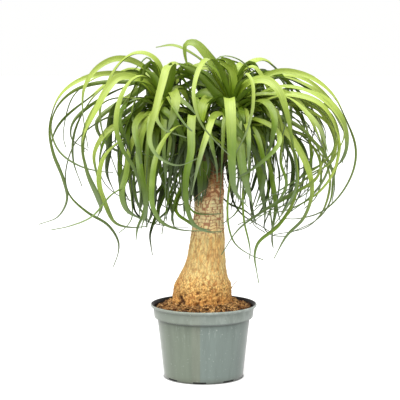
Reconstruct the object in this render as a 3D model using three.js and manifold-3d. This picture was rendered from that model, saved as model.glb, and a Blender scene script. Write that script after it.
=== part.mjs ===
// Potted ponytail palm: a swollen corky trunk in a nursery pot, forked into three leafy heads.
// Millimetres, +Z up. The origin is the centre of the pot's underside; the front faces -Y.
import * as THREE from 'three';
import { mergeVertices } from 'three/addons/utils/BufferGeometryUtils.js';
import Module from 'manifold-3d';

const wasm = await Module();
wasm.setup();
const { Manifold, Mesh: SolidMesh } = wasm;

// Pot
const RIM_RADIUS = 85;
const POT_HEIGHT = 118;
const BAND_HEIGHT = 21.4;
const BAND_RADIUS = 79;
const BODY_TOP_RADIUS = 73.8;
const FOOT_RADIUS = 63.6;
const FOOT_ROUND = 4;
const WALL = 1.8;
const FLOOR = 3;
const INNER_ROUND = 2;
const POT_SIDES = 36;
// Bevel under the band, and the lip as [radius, height] from the rim's outer edge and the pot's top
const BAND_BEVEL = [0.6, 0.8];
const LIP_FOOT = [-4.4, -5];
const LIP = [[-1.2, -3.8], [0, -2.6], [0, -0.8], [-0.8, 0], [-2.4, 0], [-4, -1.6]];
const SLOT_COUNT = 8;
const SLOT_WIDTH = 21;
const SLOT_HEIGHT = 2.5;
const SLOT_DEPTH = 8;
const FRONT_SLOT_ANGLE = -96;

// Soil and the chips on it
const GAP = 0.3;
const SOIL_EDGE = 110;
const SOIL_CROWN = 116.5;
const SOIL_CROWN_RADIUS = 44;
const SOIL_RINGS = 4;
const SOIL_BUMP = 1.3;
const SOIL_BUMPS_FROM = [40, 0.1];
const SOIL_WAVES = [0.31, 0.27];
const CHIP_COUNT = 14;
const CHIP_LENGTH = 11;
const CHIP_WIDTH = 6;
const CHIP_THICKNESS = 3;
const CHIP_LENGTHS = [0.6, 1.3];
const CHIP_TILTS = [50, 44];
const CHIP_TURN = 2.3;
const CHIP_RADII = [52, 72];
const CHIP_SLOPE_RADII = [50, 77];
const CHIP_LIFT = 0.6;

// Trunk: [height, radius, centre x] at each change of its outline
const TRUNK_OUTLINE = [
  [112, 48.5, -3], [123, 48, -3], [136, 46.6, -2.5], [149, 44.8, -1.2], [162, 39.8, -0.6],
  [175, 34.6, 1.5], [188, 31.8, 3.6], [201, 29.6, 4.6], [220, 27.8, 6], [252, 24.6, 7.6],
  [270, 23.4, 8], [282, 22.6, 8.4], [289, 18.6, 13.4], [297, 15.6, 17], [318, 12.6, 18.6],
  [332, 11, 19.2], [341, 10.4, 18.6], [346, 6, 18],
];
const BURIED_OUTLINE = [[70, 20], [74, 36], [84, 45], [98, 48.5]];
const TRUNK_SIDES = 20;
const MOST_ROW_GAP = 13;
const BARK_RELIEF = 0.035;
const RELIEF_START = 119;
const RELIEF_FULL = 132;
// Furrows as [weight, cycles round the trunk, drift up it], lumps as [cycles, drift]
const FURROWS = [[1, 5, 0.02], [0.7, 9, -0.05]];
const LUMPS = [[3, 0.11], [2, 0.16]];
const FURROW_SHARE = 0.45;

// Branches of the fork: radius, then points from inside the neck to the flat end under a head
const BRANCH_SIDES = 8;
const BRANCH_EXTRA_ROWS = 2;
const BRANCHES = [
  {
    radius: 8.5,
    points: [[18, 0, 326], [-8, 2, 348], [-42, 2, 364], [-64, 0, 378], [-66, 0, 388], [-66, 0, 394.5]],
  },
  {
    radius: 8,
    points: [[18, 0, 330], [8, -6, 346], [-3, -12, 352], [-4, -14, 357], [-4, -14, 361.5]],
  },
  {
    radius: 9,
    points: [[18, 0, 328], [30, 4, 352], [47, 6, 374], [50, 6, 386], [50, 6, 394.5]],
  },
];

// Where the eye stands from which the leaf routes were read, in front of the pot's axis
const EYE_DISTANCE = 2200;
const EYE_HEIGHT = 514;

// Heart of a head, as shares of its radius and height
const CORE_SIDES = 10;
const CORE_PROFILE = [[0.7, 0], [1, 0.2], [1, 0.6], [0.6, 0.9]];

// Blade of a leaf: a flat upper face and a keel below it
const KEEL_SHARE = 0.09;
const LEAST_KEEL = 0.7;
const LEAST_WIDTH = 1.6;
const ROOT_SHARE = 0.8;
const FULL_WIDTH_AT = 0.15;
const TAPER_POWER = 2;
const MOST_ROLL = THREE.MathUtils.degToRad(0.34);
const HEADING_SHARE = 0.4;
const SEGMENTS_PER_POINT = 1.1;
const TEST_MARGIN = 0.7;
const BEND_STEP = 5;
const MOST_BENDS = 16;

// How far out, up and down an arching leaf is at each of its points, as shares of reach, rise and drop
const ARCH = [[0, 0, 0], [0.12, 0.7, 0], [0.4, 1, 0], [0.75, 0.2, 0.05], [0.96, 0, 0.38],
  [1, 0, 0.7], [0.93, 0, 1]];
const ROOT_SPREAD = 16;
const RULED_TURNS = [0.1, 0.3];
// How much the leaves of one rule differ, as shares, and how far they sway, in radians
const REACHES = [0.62, 1.17];
const RISES = [0.6, 1.2];
const DROPS = [0.65, 1.15];
const WIDTHS = [0.75, 1.25];
const SWAYS = [-0.65, 0.65];

// Steps of the even scatter
const SCATTER_START = 0.37;
const GOLDEN = 0.6180339887;
const PLASTIC = 0.7548776662;
const SILVER = 0.4142135624;

// The heads. A leaf is [width, reach, turn at the root, turn at the tip, route]. The route's x, z pairs
// are as seen from the front, the reach is how far the leaf comes forward (negative) or goes back, and
// a turn of 1 lays the upper face towards the front, 0 leaves it up and outwards, -1 shows the underside.
const HEADS = [
  {
    name: 'head_left',
    core: { x: -66, y: 0, bottom: 395.1, top: 452, radius: 12 },
    rules: [
      { count: 9, from: 35, to: 175, height: 438, rise: 42, reach: 160, drop: 150, width: 14 },
      { count: 11, from: 0, to: 360, height: 404, rise: 14, reach: 74, drop: 125, width: 13 },
    ],
    leaves: [
      [15, -25, 0.7, -0.5, [-66, 445, -67, 485, -75, 504, -92, 515, -112, 514, -134, 497, -152, 465,
        -163, 428, -160, 392, -146, 350, -130, 306]],
      [13, -15, 0.6, 0.5, [-70, 440, -85, 484, -112, 504, -140, 507, -168, 492, -187, 463, -191, 428,
        -188, 397, -183, 366]],
      [11, 20, 0.4, 0.7, [-70, 440, -90, 476, -130, 484, -170, 482, -208, 466, -232, 440, -243, 400,
        -238, 360, -222, 316, -217, 284, -232, 257, -262, 245]],
      [10, -10, 0.4, 0.6, [-72, 440, -95, 465, -135, 471, -172, 468, -205, 456, -231, 431, -241, 398,
        -228, 361, -196, 338, -160, 329, -143, 328]],
      [5, 45, 0.4, 0.4, [-70, 440, -92, 474, -130, 485, -170, 477, -205, 449, -220, 405, -222, 382,
        -218, 367]],
      [15, -98, 0.2, 0.4, [-70, 435, -77, 463, -88, 476, -102, 479, -118, 468, -133, 438, -138, 400,
        -128, 365, -109, 332, -101, 300, -103, 268, -101, 250]],
      [13, -63, 0.3, 0.6, [-72, 436, -90, 467, -112, 478, -134, 478, -153, 457, -172, 421, -188, 387,
        -191, 365, -183, 326, -167, 287, -163, 271, -169, 257]],
      [9, -5, 0.3, 0.5, [-75, 430, -98, 441, -130, 446, -155, 440, -176, 416, -189, 380, -189, 360]],
      [9, 30, 0.3, 0.5, [-75, 412, -105, 412, -140, 417, -170, 405, -203, 375, -219, 325, -213, 293,
        -185, 265, -152, 244, -136, 218, -136, 200, -144, 177]],
      [6, -84, 0.3, 0.3, [-70, 415, -90, 403, -105, 360, -125, 308, -148, 291, -178, 257, -214, 242,
        -243, 236]],
      [12, -56, 0.3, 0.5, [-72, 408, -95, 392, -130, 378, -157, 352, -166, 316, -157, 279, -141, 248,
        -114, 240, -88, 242]],
      [14, 35, -0.4, -0.4, [-74, 422, -100, 440, -124, 446, -141, 428, -148, 400, -150, 360,
        -153, 327, -142, 296]],
      [8, 50, -0.4, -0.3, [-75, 405, -98, 414, -118, 411, -132, 394, -118, 379]],
      [12, -20, 0.3, 0.4, [-72, 424, -83, 440, -98, 433, -111, 410, -116, 385, -118, 362]],
      [16, -70, 0.2, 0.4, [-70, 415, -83, 421, -100, 399, -116, 363, -122, 325, -130, 293, -122, 267,
        -100, 253]],
      [14, 10, 0.5, 0.5, [-70, 405, -88, 400, -101, 372, -103, 335, -97, 300, -98, 280, -103, 262]],
      [17, -133, 0.2, 0.3, [-62, 440, -53, 474, -50, 496, -58, 492, -66, 466, -76, 428, -86, 385,
        -82, 366, -66, 348, -40, 339, -10, 350]],
      [12, -105, 0.2, 0.2, [-68, 410, -87, 408, -101, 370, -101, 335, -93, 292, -93, 262, -100, 238]],
      [10, -56, 0.2, 0.3, [-68, 405, -82, 394, -89, 350, -88, 300, -95, 262, -105, 240, -108, 219]],
      [6, -84, 0.5, 0.5, [-62, 445, -70, 432, -74, 412, -62, 396, -27, 383]],
      [10, -42, 0.2, 0.5, [-62, 440, -50, 455, -36, 442, -22, 431, -13, 420]],
      [5, -84, 0.3, 0.3, [-61, 440, -57, 447, -47, 428, -28, 402, -13, 389]],
      [9, 60, 0.6, 0.6, [-61, 435, -50, 468, -36, 491, -22, 499, -8, 485]],
      [16, -70, 0.2, 0.3, [-61, 435, -49, 456, -44, 440, -50, 414, -58, 390]],
    ],
  },
  {
    name: 'head_right',
    core: { x: 50, y: 6, bottom: 395.1, top: 452, radius: 13.5 },
    rules: [
      { count: 12, from: 5, to: 150, height: 440, rise: 46, reach: 175, drop: 160, width: 14 },
      { count: 11, from: 0, to: 360, height: 404, rise: 14, reach: 78, drop: 125, width: 13 },
    ],
    leaves: [
      [18, -119, 0, 0, [42, 418, 41, 436, 40, 445, 42, 425, 44, 380, 45, 330, 50, 297, 70, 273]],
      [15, -84, 0.3, 0.4, [48, 435, 58, 458, 75, 471, 97, 474, 116, 460, 128, 430, 137, 388, 145, 345,
        145, 300, 130, 270, 107, 237]],
      [7, -84, 0.3, 0.3, [46, 440, 55, 470, 66, 484, 76, 470, 77, 430, 67, 391, 50, 357]],
      [5, -10, 0.3, 0.3, [42, 440, 22, 480, 15, 500, 30, 511, 57, 505, 76, 483, 79, 447]],
      [15, 15, 0.7, 0.8, [42, 440, 24, 487, 5, 513, -14, 531, -27, 530, -29, 515, -24, 490]],
      [16, 20, -0.7, -0.5, [41, 430, 18, 466, -5, 493, -30, 504, -50, 498]],
      [14, -10, -0.7, -0.5, [41, 425, 10, 460, -15, 485, -38, 498]],
      [9, 35, 0.5, 0.5, [42, 440, 12, 490, -20, 516, -48, 528, -75, 525]],
      [11, -147, 0.1, 0.1, [42, 440, 28, 485, 14, 505, 0, 503, -11, 482, -16, 448, -5, 407, 20, 375,
        40, 355]],
      [13, 20, 0.6, 0.6, [42, 440, 28, 472, 5, 496]],
      [12, 10, 0.6, 0.6, [43, 440, 33, 478, 10, 503]],
      [10, -15, -0.6, -0.6, [44, 440, 47, 470, 42, 492, 20, 507]],
      [11, 5, 0.6, 0.6, [46, 440, 50, 475, 45, 499, 25, 511]],
      [9, 60, 0.5, 0.5, [48, 440, 51, 470, 60, 486, 72, 480]],
      [13, -10, 0.6, 0.7, [58, 435, 78, 468, 104, 484, 133, 488, 172, 476, 205, 448, 226, 408,
        240, 366, 236, 329, 214, 289, 185, 264, 148, 254, 130, 254]],
      [8, 30, 0.4, 0.6, [58, 432, 85, 468, 125, 481, 163, 473, 195, 447, 215, 420, 222, 392]],
      [9, 40, 0.4, 0.6, [58, 430, 90, 465, 125, 478, 160, 465, 202, 432, 222, 400]],
      [13, -20, 0.4, 0.6, [58, 425, 90, 450, 140, 460, 185, 449, 213, 422, 226, 384, 221, 350,
        204, 333]],
      [11, -49, 0.3, 0.5, [58, 420, 95, 445, 140, 451, 185, 435, 208, 394, 202, 352, 189, 315,
        168, 288, 135, 263]],
      [14, -70, 0.3, 0.5, [58, 415, 95, 440, 130, 446, 160, 424, 184, 396, 197, 359]],
      [12, -25, 0.3, 0.5, [58, 418, 100, 445, 150, 446, 185, 426, 206, 385, 206, 355, 200, 335]],
      [9, 10, 0.3, 0.4, [60, 402, 90, 395, 145, 391, 178, 375, 200, 340, 208, 310, 204, 280]],
      [7, 25, 0.3, 0.3, [60, 400, 100, 388, 150, 382, 185, 357, 200, 318, 190, 268, 164, 240,
        112, 228]],
      [13, -77, 0.3, 0.4, [60, 415, 92, 429, 112, 412, 143, 377, 166, 330, 171, 295, 158, 255,
        132, 227, 112, 190]],
      [10, -98, 0.3, 0.4, [56, 420, 100, 425, 133, 385, 147, 330, 143, 285, 118, 243, 87, 216,
        81, 195, 84, 172, 88, 150]],
      [9, -87, 0.3, 0.3, [60, 410, 110, 415, 150, 400, 182, 362, 180, 322, 141, 294, 91, 264,
        55, 237, 28, 196]],
      [6, -56, 0.3, 0.3, [60, 405, 120, 395, 165, 340, 170, 303, 134, 278, 105, 267, 72, 245]],
      [9, -56, 0.2, 0.3, [60, 402, 90, 385, 103, 340, 111, 300, 114, 270, 109, 236, 111, 207]],
      [9, -105, 0.3, 0.3, [58, 415, 100, 410, 131, 388, 125, 367, 98, 347, 69, 326, 39, 314]],
      [15, -112, 0.1, 0.1, [52, 405, 55, 398, 57, 370, 62, 333, 70, 300, 78, 275]],
      [14, -84, 0.2, 0.3, [58, 425, 80, 440, 100, 437, 111, 415, 108, 385, 98, 350, 88, 338]],
      [8, -70, 0.3, 0.4, [58, 420, 90, 437, 112, 428, 124, 390, 121, 345, 131, 310, 120, 285,
        110, 277]],
      [9, -98, 0.2, 0.2, [56, 405, 68, 402, 71, 375, 70, 335]],
      [10, -77, 0.2, 0.2, [58, 405, 80, 393, 93, 350, 94, 310, 82, 272]],
      [5, 42, 0.2, 0.2, [54, 412, 60, 402, 46, 340, 45, 290, 60, 262, 88, 244, 104, 234]],
      [8, 50, 0.3, 0.3, [50, 412, 50, 402, 33, 340, 27, 296, 40, 279, 66, 267, 84, 250]],
    ],
  },
  {
    name: 'head_middle',
    core: { x: -4, y: -14, bottom: 362.1, top: 402, radius: 10 },
    rules: [
      { count: 5, from: 40, to: 140, height: 392, rise: 36, reach: 130, drop: 120, width: 14 },
      { count: 8, from: 0, to: 360, height: 374, rise: 10, reach: 62, drop: 105, width: 13 },
    ],
    leaves: [
      [13, -134, 0.1, 0.3, [-8, 388, -15, 399, -40, 400, -58, 385, -75, 352, -82, 310, -81, 273,
        -66, 248, -35, 236, 5, 234]],
      [14, -120, 0.1, 0.2, [-8, 385, -12, 408, -18, 418, -20, 395, -20, 362, -28, 320, -27, 276,
        -16, 245, 8, 233, 28, 234]],
      [12, -113, 0.1, 0.1, [0, 388, 10, 408, 13, 411, 5, 388, -4, 360, -11, 332, -20, 292]],
      [13, 34, 0.4, 0.3, [-10, 378, -36, 356, -54, 315, -57, 290, -50, 262, -47, 240]],
      [8, -42, 0.3, 0.3, [-9, 375, -28, 345, -33, 310, -45, 282, -50, 252, -47, 241]],
      [7, -20, 0.3, 0.3, [-9, 372, -30, 330, -50, 290, -56, 268, -70, 255, -82, 241]],
      [6, 44, 0.3, 0.3, [-9, 372, -50, 324, -76, 288, -60, 272, -45, 268]],
      [7, -59, 0.3, 0.3, [-8, 374, -30, 310, -43, 266, -25, 250, -10, 240, 10, 236]],
      [6, 0, 0.3, 0.3, [-9, 376, -40, 334, -62, 290, -78, 252, -85, 228, -84, 210, -82, 195]],
    ],
  },
];

// Evenly scattered values from 0 to 1, the same on every run
function scatter(index, step) {
  return (SCATTER_START + index * step) % 1;
}

function spread([least, most], index, step) {
  return THREE.MathUtils.lerp(least, most, scatter(index, step));
}

function solidFrom(geometry) {
  const bare = geometry.clone();
  bare.deleteAttribute('normal');
  bare.deleteAttribute('uv');
  const merged = mergeVertices(bare, 1e-4);
  return new Manifold(new SolidMesh({
    numProp: 3,
    vertProperties: new Float32Array(merged.attributes.position.array),
    triVerts: new Uint32Array(merged.index.array),
  }));
}

function geometryFrom(solid) {
  const { vertProperties, triVerts } = solid.getMesh();
  const geometry = new THREE.BufferGeometry();
  geometry.setAttribute('position', new THREE.BufferAttribute(new Float32Array(vertProperties), 3));
  geometry.setIndex(new THREE.BufferAttribute(new Uint32Array(triVerts), 1));
  geometry.computeVertexNormals();
  return geometry;
}

function lathe(profile, sides) {
  const points = profile.map(([radius, height]) => new THREE.Vector2(radius, height));
  return new THREE.LatheGeometry(points, sides).rotateX(Math.PI / 2);
}

function moveVertices(geometry, change) {
  const position = geometry.attributes.position;
  const point = new THREE.Vector3();
  for (let i = 0; i < position.count; i += 1) {
    point.fromBufferAttribute(position, i);
    change(point);
    position.setXYZ(i, point.x, point.y, point.z);
  }
  return geometry;
}

// Radius of the pot's outer wall below the band
function bodyRadius(height) {
  const share = (height - FOOT_ROUND) / (POT_HEIGHT - BAND_HEIGHT - FOOT_ROUND);
  return THREE.MathUtils.lerp(FOOT_RADIUS, BODY_TOP_RADIUS, share);
}

function potSolid() {
  const bandFoot = POT_HEIGHT - BAND_HEIGHT;
  const footCorner = [0, 30, 60, 90].map((degrees) => {
    const turn = THREE.MathUtils.degToRad(degrees);
    return [FOOT_RADIUS - FOOT_ROUND * (1 - Math.sin(turn)), FOOT_ROUND * (1 - Math.cos(turn))];
  });
  const shell = lathe([
    [0, 0],
    ...footCorner,
    [BODY_TOP_RADIUS, bandFoot],
    [BAND_RADIUS - BAND_BEVEL[0], bandFoot],
    [BAND_RADIUS, bandFoot + BAND_BEVEL[1]],
    [RIM_RADIUS + LIP_FOOT[0], POT_HEIGHT + LIP_FOOT[1]],
    ...LIP.map(([out, up]) => [RIM_RADIUS + out, POT_HEIGHT + up]),
    [RIM_RADIUS + LIP_FOOT[0] - WALL, POT_HEIGHT + LIP_FOOT[1]],
    [BAND_RADIUS - WALL, bandFoot],
    [BODY_TOP_RADIUS - WALL, bandFoot - INNER_ROUND],
    [bodyRadius(FLOOR + INNER_ROUND) - WALL, FLOOR + INNER_ROUND],
    [bodyRadius(FLOOR) - WALL - INNER_ROUND, FLOOR],
    [0, FLOOR],
  ], POT_SIDES);
  let pot = solidFrom(shell);
  for (let i = 0; i < SLOT_COUNT; i += 1) {
    const turn = THREE.MathUtils.degToRad(FRONT_SLOT_ANGLE + (i * 360) / SLOT_COUNT);
    const slot = new THREE.BoxGeometry(2 * SLOT_DEPTH, SLOT_WIDTH, 2 * SLOT_HEIGHT);
    slot.translate(FOOT_RADIUS, 0, 0).rotateZ(turn);
    pot = pot.subtract(solidFrom(slot));
  }
  return pot;
}

// Centre and radius of the trunk above the soil at a height
function trunkAt(height) {
  const last = TRUNK_OUTLINE.length - 1;
  const next = TRUNK_OUTLINE.findIndex(([level]) => level > height);
  const upper = next < 0 ? last : Math.max(next, 1);
  const [z0, r0, x0] = TRUNK_OUTLINE[upper - 1];
  const [z1, r1, x1] = TRUNK_OUTLINE[upper];
  const share = THREE.MathUtils.clamp((height - z0) / (z1 - z0), 0, 1);
  return { radius: THREE.MathUtils.lerp(r0, r1, share), x: THREE.MathUtils.lerp(x0, x1, share) };
}

// Low fissures that run up the bark, and lumps round the swollen foot
function barkRelief(angle, height) {
  const grown = THREE.MathUtils.smoothstep(height, RELIEF_START, RELIEF_FULL);
  const furrows = FURROWS.reduce((sum, [weight, cycles, drift]) => (
    sum + weight * Math.sin(cycles * angle + drift * height)), 0);
  const lumps = LUMPS.reduce((product, [cycles, drift]) => (
    product * Math.sin(cycles * angle + drift * height)), 1);
  return grown * BARK_RELIEF * THREE.MathUtils.lerp(lumps, furrows, FURROW_SHARE);
}

function trunkSolid() {
  const rows = [];
  TRUNK_OUTLINE.forEach(([height, radius], i) => {
    rows.push([radius, height]);
    const above = TRUNK_OUTLINE[i + 1];
    if (above && above[0] - height > MOST_ROW_GAP) {
      rows.push([(radius + above[1]) / 2, (height + above[0]) / 2]);
    }
  });
  const buried = BURIED_OUTLINE.map(([height, radius]) => [radius, height]);
  const stem = lathe([
    [0, buried[0][1]], ...buried, ...rows, [0, rows[rows.length - 1][1]],
  ], TRUNK_SIDES);
  moveVertices(stem, (point) => {
    const scale = 1 + barkRelief(Math.atan2(point.y, point.x), point.z);
    point.x = point.x * scale + trunkAt(point.z).x;
    point.y *= scale;
  });
  return Manifold.union([solidFrom(stem), ...BRANCHES.map(branchSolid)]);
}

function branchSolid({ radius, points }) {
  const path = new THREE.CatmullRomCurve3(points.map((p) => new THREE.Vector3(...p)));
  const section = new THREE.Shape();
  for (let i = 0; i < BRANCH_SIDES; i += 1) {
    const turn = (i * 2 * Math.PI) / BRANCH_SIDES;
    const corner = [radius * Math.cos(turn), radius * Math.sin(turn)];
    if (i === 0) {
      section.moveTo(...corner);
    } else {
      section.lineTo(...corner);
    }
  }
  return solidFrom(new THREE.ExtrudeGeometry(section, {
    steps: points.length + BRANCH_EXTRA_ROWS, bevelEnabled: false, extrudePath: path,
  }));
}

// The trunk's foot, a little larger, cut from the soil so that the trunk stands in a plain hole
function trunkHole() {
  const foot = BURIED_OUTLINE.map(([height, radius]) => [radius + GAP, height]);
  foot[0][1] -= GAP;
  const above = TRUNK_OUTLINE.slice(0, 3).map(([height, radius]) => [radius + 2 * GAP, height]);
  const top = above[above.length - 1][1];
  const hole = lathe([[0, foot[0][1]], ...foot, ...above, [0, top]], TRUNK_SIDES);
  return solidFrom(hole.translate(TRUNK_OUTLINE[0][2], 0, 0));
}

function chipSolid(index) {
  const turn = index * 360 * GOLDEN;
  const out = spread(CHIP_RADII, index, PLASTIC);
  const length = CHIP_LENGTH * spread(CHIP_LENGTHS, index, SILVER);
  const chip = new THREE.BoxGeometry(length, CHIP_WIDTH, CHIP_THICKNESS);
  chip.rotateX(THREE.MathUtils.degToRad(CHIP_TILTS[0] * (scatter(index, PLASTIC) - 0.5)));
  chip.rotateY(THREE.MathUtils.degToRad(CHIP_TILTS[1] * (scatter(index, GOLDEN) - 0.5)));
  chip.rotateZ(THREE.MathUtils.degToRad(turn * CHIP_TURN));
  const level = THREE.MathUtils.mapLinear(out, ...CHIP_SLOPE_RADII, SOIL_CROWN, SOIL_EDGE);
  chip.translate(out, 0, level + CHIP_LIFT).rotateZ(THREE.MathUtils.degToRad(turn));
  return solidFrom(chip);
}

function soilSolid() {
  const bandFoot = POT_HEIGHT - BAND_HEIGHT;
  const edge = THREE.MathUtils.mapLinear(SOIL_EDGE, bandFoot, POT_HEIGHT + LIP_FOOT[1],
    BAND_RADIUS - WALL, RIM_RADIUS + LIP_FOOT[0] - WALL);
  const rings = [];
  for (let i = 0; i <= SOIL_RINGS; i += 1) {
    const share = i / SOIL_RINGS;
    const height = THREE.MathUtils.lerp(SOIL_EDGE, SOIL_CROWN, Math.sin(share * Math.PI / 2));
    rings.push([THREE.MathUtils.lerp(edge - GAP, SOIL_CROWN_RADIUS, share), height]);
  }
  const fill = lathe([
    [0, FLOOR + GAP],
    [bodyRadius(FLOOR) - WALL - INNER_ROUND - GAP, FLOOR + GAP],
    [bodyRadius(FLOOR + INNER_ROUND) - WALL - GAP, FLOOR + INNER_ROUND + GAP],
    [BODY_TOP_RADIUS - WALL - GAP, bandFoot - INNER_ROUND],
    [BAND_RADIUS - WALL - GAP, bandFoot + GAP],
    ...rings,
    [0, SOIL_CROWN],
  ], POT_SIDES);
  moveVertices(fill, (point) => {
    const out = Math.hypot(point.x, point.y);
    if (out > SOIL_BUMPS_FROM[0] && point.z > SOIL_EDGE + SOIL_BUMPS_FROM[1]) {
      point.z += SOIL_BUMP * Math.sin(point.x * SOIL_WAVES[0]) * Math.cos(point.y * SOIL_WAVES[1]);
    }
  });
  const chips = Array.from({ length: CHIP_COUNT }, (_, i) => chipSolid(i));
  return Manifold.union([solidFrom(fill), ...chips]).subtract(trunkHole());
}

// A point seen at x, z in the plane through the pot's axis, taken to the depth y along the same sight line
function sighted(x, z, y) {
  const share = (EYE_DISTANCE + y) / EYE_DISTANCE;
  return new THREE.Vector3(x * share, y, EYE_HEIGHT - (EYE_HEIGHT - z) * share);
}

function tracedRoute([, reach, , , route], core, bend) {
  const count = route.length / 2;
  return Array.from({ length: count }, (_, i) => {
    const left = 1 - i / (count - 1);
    return sighted(route[2 * i], route[2 * i + 1], core.y + (reach + bend) * (1 - left * left));
  });
}

function ruledRoute(rule, index, core, bend) {
  const share = (index + 0.5) / rule.count;
  const turn = THREE.MathUtils.degToRad(THREE.MathUtils.lerp(rule.from, rule.to, share) + bend);
  const reach = rule.reach * spread(REACHES, index, PLASTIC);
  const rise = rule.rise * spread(RISES, index, SILVER);
  const drop = rule.drop * spread(DROPS, index, GOLDEN);
  const sway = spread(SWAYS, index, PLASTIC);
  const height = rule.height + ROOT_SPREAD * scatter(index, GOLDEN);
  return ARCH.map(([out, up, down]) => {
    const heading = turn + sway * out * out;
    return new THREE.Vector3(
      core.x + reach * out * Math.cos(heading),
      core.y + reach * out * Math.sin(heading),
      height + rise * up - drop * down,
    );
  });
}

// Width of a blade at a share of its length: narrow at the root, full soon after, thread-like at the tip
function widthAt(width, share) {
  const opened = Math.min(1, ROOT_SHARE + ((1 - ROOT_SHARE) * share) / FULL_WIDTH_AT);
  return Math.max(LEAST_WIDTH, width * opened * (1 - share ** TAPER_POWER));
}

// The blade's upper-face direction where it heads along the tangent
function upperFace(tangent, across, turn) {
  const natural = new THREE.Vector3().crossVectors(tangent, across);
  const front = new THREE.Vector3(0, -1, 0);
  return natural.multiplyScalar(1 - Math.abs(turn)).addScaledVector(front, turn)
    .projectOnPlane(tangent).normalize();
}

function bladeSolid(route, width, [turnAtRoot, turnAtTip], margin = 0) {
  const curve = new THREE.CatmullRomCurve3(route, false, 'centripetal');
  const steps = Math.round((route.length - 1) * SEGMENTS_PER_POINT) + 1;
  const heading = curve.getPoint(HEADING_SHARE).sub(route[0]).setZ(0).normalize();
  const across = new THREE.Vector3(0, 0, 1).cross(heading);
  const corners = [];
  let face = null;
  let before = route[0];
  for (let i = 0; i <= steps; i += 1) {
    const share = i / steps;
    const point = curve.getPoint(share);
    const tangent = curve.getTangent(share);
    const wanted = upperFace(tangent, across, THREE.MathUtils.lerp(turnAtRoot, turnAtTip, share));
    if (face) {
      const most = MOST_ROLL * point.distanceTo(before);
      face.projectOnPlane(tangent).normalize();
      const roll = Math.atan2(new THREE.Vector3().crossVectors(face, wanted).dot(tangent),
        face.dot(wanted));
      face.applyAxisAngle(tangent, THREE.MathUtils.clamp(roll, -most, most));
    } else {
      face = wanted;
    }
    before = point;
    const side = new THREE.Vector3().crossVectors(face, tangent).normalize();
    const breadth = widthAt(width, share);
    const keel = Math.max(LEAST_KEEL, breadth * KEEL_SHARE);
    corners.push(
      point.clone().addScaledVector(face, -keel - margin),
      point.clone().addScaledVector(side, breadth / 2 + margin).addScaledVector(face, margin),
      point.clone().addScaledVector(side, -breadth / 2 - margin).addScaledVector(face, margin),
    );
  }
  const triangles = [[0, 2, 1]];
  for (let i = 0; i < steps; i += 1) {
    const [keel, right, left] = [3 * i, 3 * i + 1, 3 * i + 2];
    triangles.push(
      [keel, right, right + 3], [keel, right + 3, keel + 3],
      [right, left, right + 3], [left, left + 3, right + 3],
      [left, keel, keel + 3], [left, keel + 3, left + 3],
    );
  }
  triangles.push([3 * steps, 3 * steps + 1, 3 * steps + 2]);
  return new Manifold(new SolidMesh({
    numProp: 3,
    vertProperties: new Float32Array(corners.flatMap((corner) => corner.toArray())),
    triVerts: new Uint32Array(triangles.flat()),
  }));
}

function boxesMeet(a, b) {
  return [0, 1, 2].every((axis) => a.min[axis] < b.max[axis] && b.min[axis] < a.max[axis]);
}

function isClear(solid, obstacles) {
  const box = solid.boundingBox();
  return obstacles.every((obstacle) => !boxesMeet(box, obstacle.box)
    || solid.intersect(obstacle.solid).isEmpty());
}

// A leaf bent forward or back in small steps until it is clear of everything that it must not touch
function clearLeaf(routeFor, width, turns, obstacles) {
  for (let i = 0; i <= MOST_BENDS; i += 1) {
    const bend = Math.ceil(i / 2) * BEND_STEP * (i % 2 ? 1 : -1);
    const route = routeFor(bend);
    if (isClear(bladeSolid(route, width, turns, TEST_MARGIN), obstacles)) {
      return bladeSolid(route, width, turns);
    }
  }
  return null;
}

function coreSolid({ x, y, bottom, top, radius }) {
  const side = CORE_PROFILE.map(([out, up]) => [radius * out, THREE.MathUtils.lerp(bottom, top, up)]);
  return solidFrom(lathe([[0, bottom], ...side, [0, top]], CORE_SIDES).translate(x, y, 0));
}

function boxed(solid) {
  return { solid, box: solid.boundingBox() };
}

// The outer body alone, with any hollow that the crossing leaves seal filled
function oneBody(solid) {
  return solid.decompose().reduce((most, piece) => (piece.volume() > most.volume() ? piece : most));
}

// The three heads: first every leaf that shows in front, then the ruled ones between and behind them
function headSolids(trunk) {
  const grown = HEADS.map((head) => [boxed(coreSolid(head.core))]);
  const grow = (place, routeFor, width, turns) => {
    const others = grown.filter((_, other) => other !== place).flat();
    const leaf = clearLeaf(routeFor, width, turns, [boxed(trunk), ...others]);
    if (leaf) {
      grown[place].push(boxed(leaf));
    }
  };
  HEADS.forEach(({ core, leaves }, place) => leaves.forEach((leaf) => {
    grow(place, (bend) => tracedRoute(leaf, core, bend), leaf[0], [leaf[2], leaf[3]]);
  }));
  HEADS.forEach(({ core, rules }, place) => rules.forEach((rule) => {
    for (let i = 0; i < rule.count; i += 1) {
      const width = rule.width * spread(WIDTHS, i, SILVER);
      grow(place, (bend) => ruledRoute(rule, i, core, bend), width, RULED_TURNS);
    }
  }));
  return grown.map((pieces) => oneBody(Manifold.union(pieces.map(({ solid }) => solid))));
}

function part(name, solid, color, roughness) {
  const material = new THREE.MeshStandardMaterial({ color, roughness, metalness: 0 });
  const mesh = new THREE.Mesh(geometryFrom(solid), material);
  mesh.name = name;
  return mesh;
}

const plant = new THREE.Group();
const trunk = trunkSolid();
plant.add(part('pot', potSolid(), 0x8a968b, 0.5));
plant.add(part('soil', soilSolid(), 0x8a5a2b, 0.95));
plant.add(part('trunk', trunk, 0xcf9b58, 0.9));

headSolids(trunk).forEach((solid, place) => plant.add(part(HEADS[place].name, solid, 0x83a63c, 0.5)));

export default plant;
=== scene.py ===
"""Potted ponytail palm: fine pieces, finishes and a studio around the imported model.

Lengths in the tables are millimetres, as in the part's own source. Blender's are metres.
"""
import math
from collections import namedtuple

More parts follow.
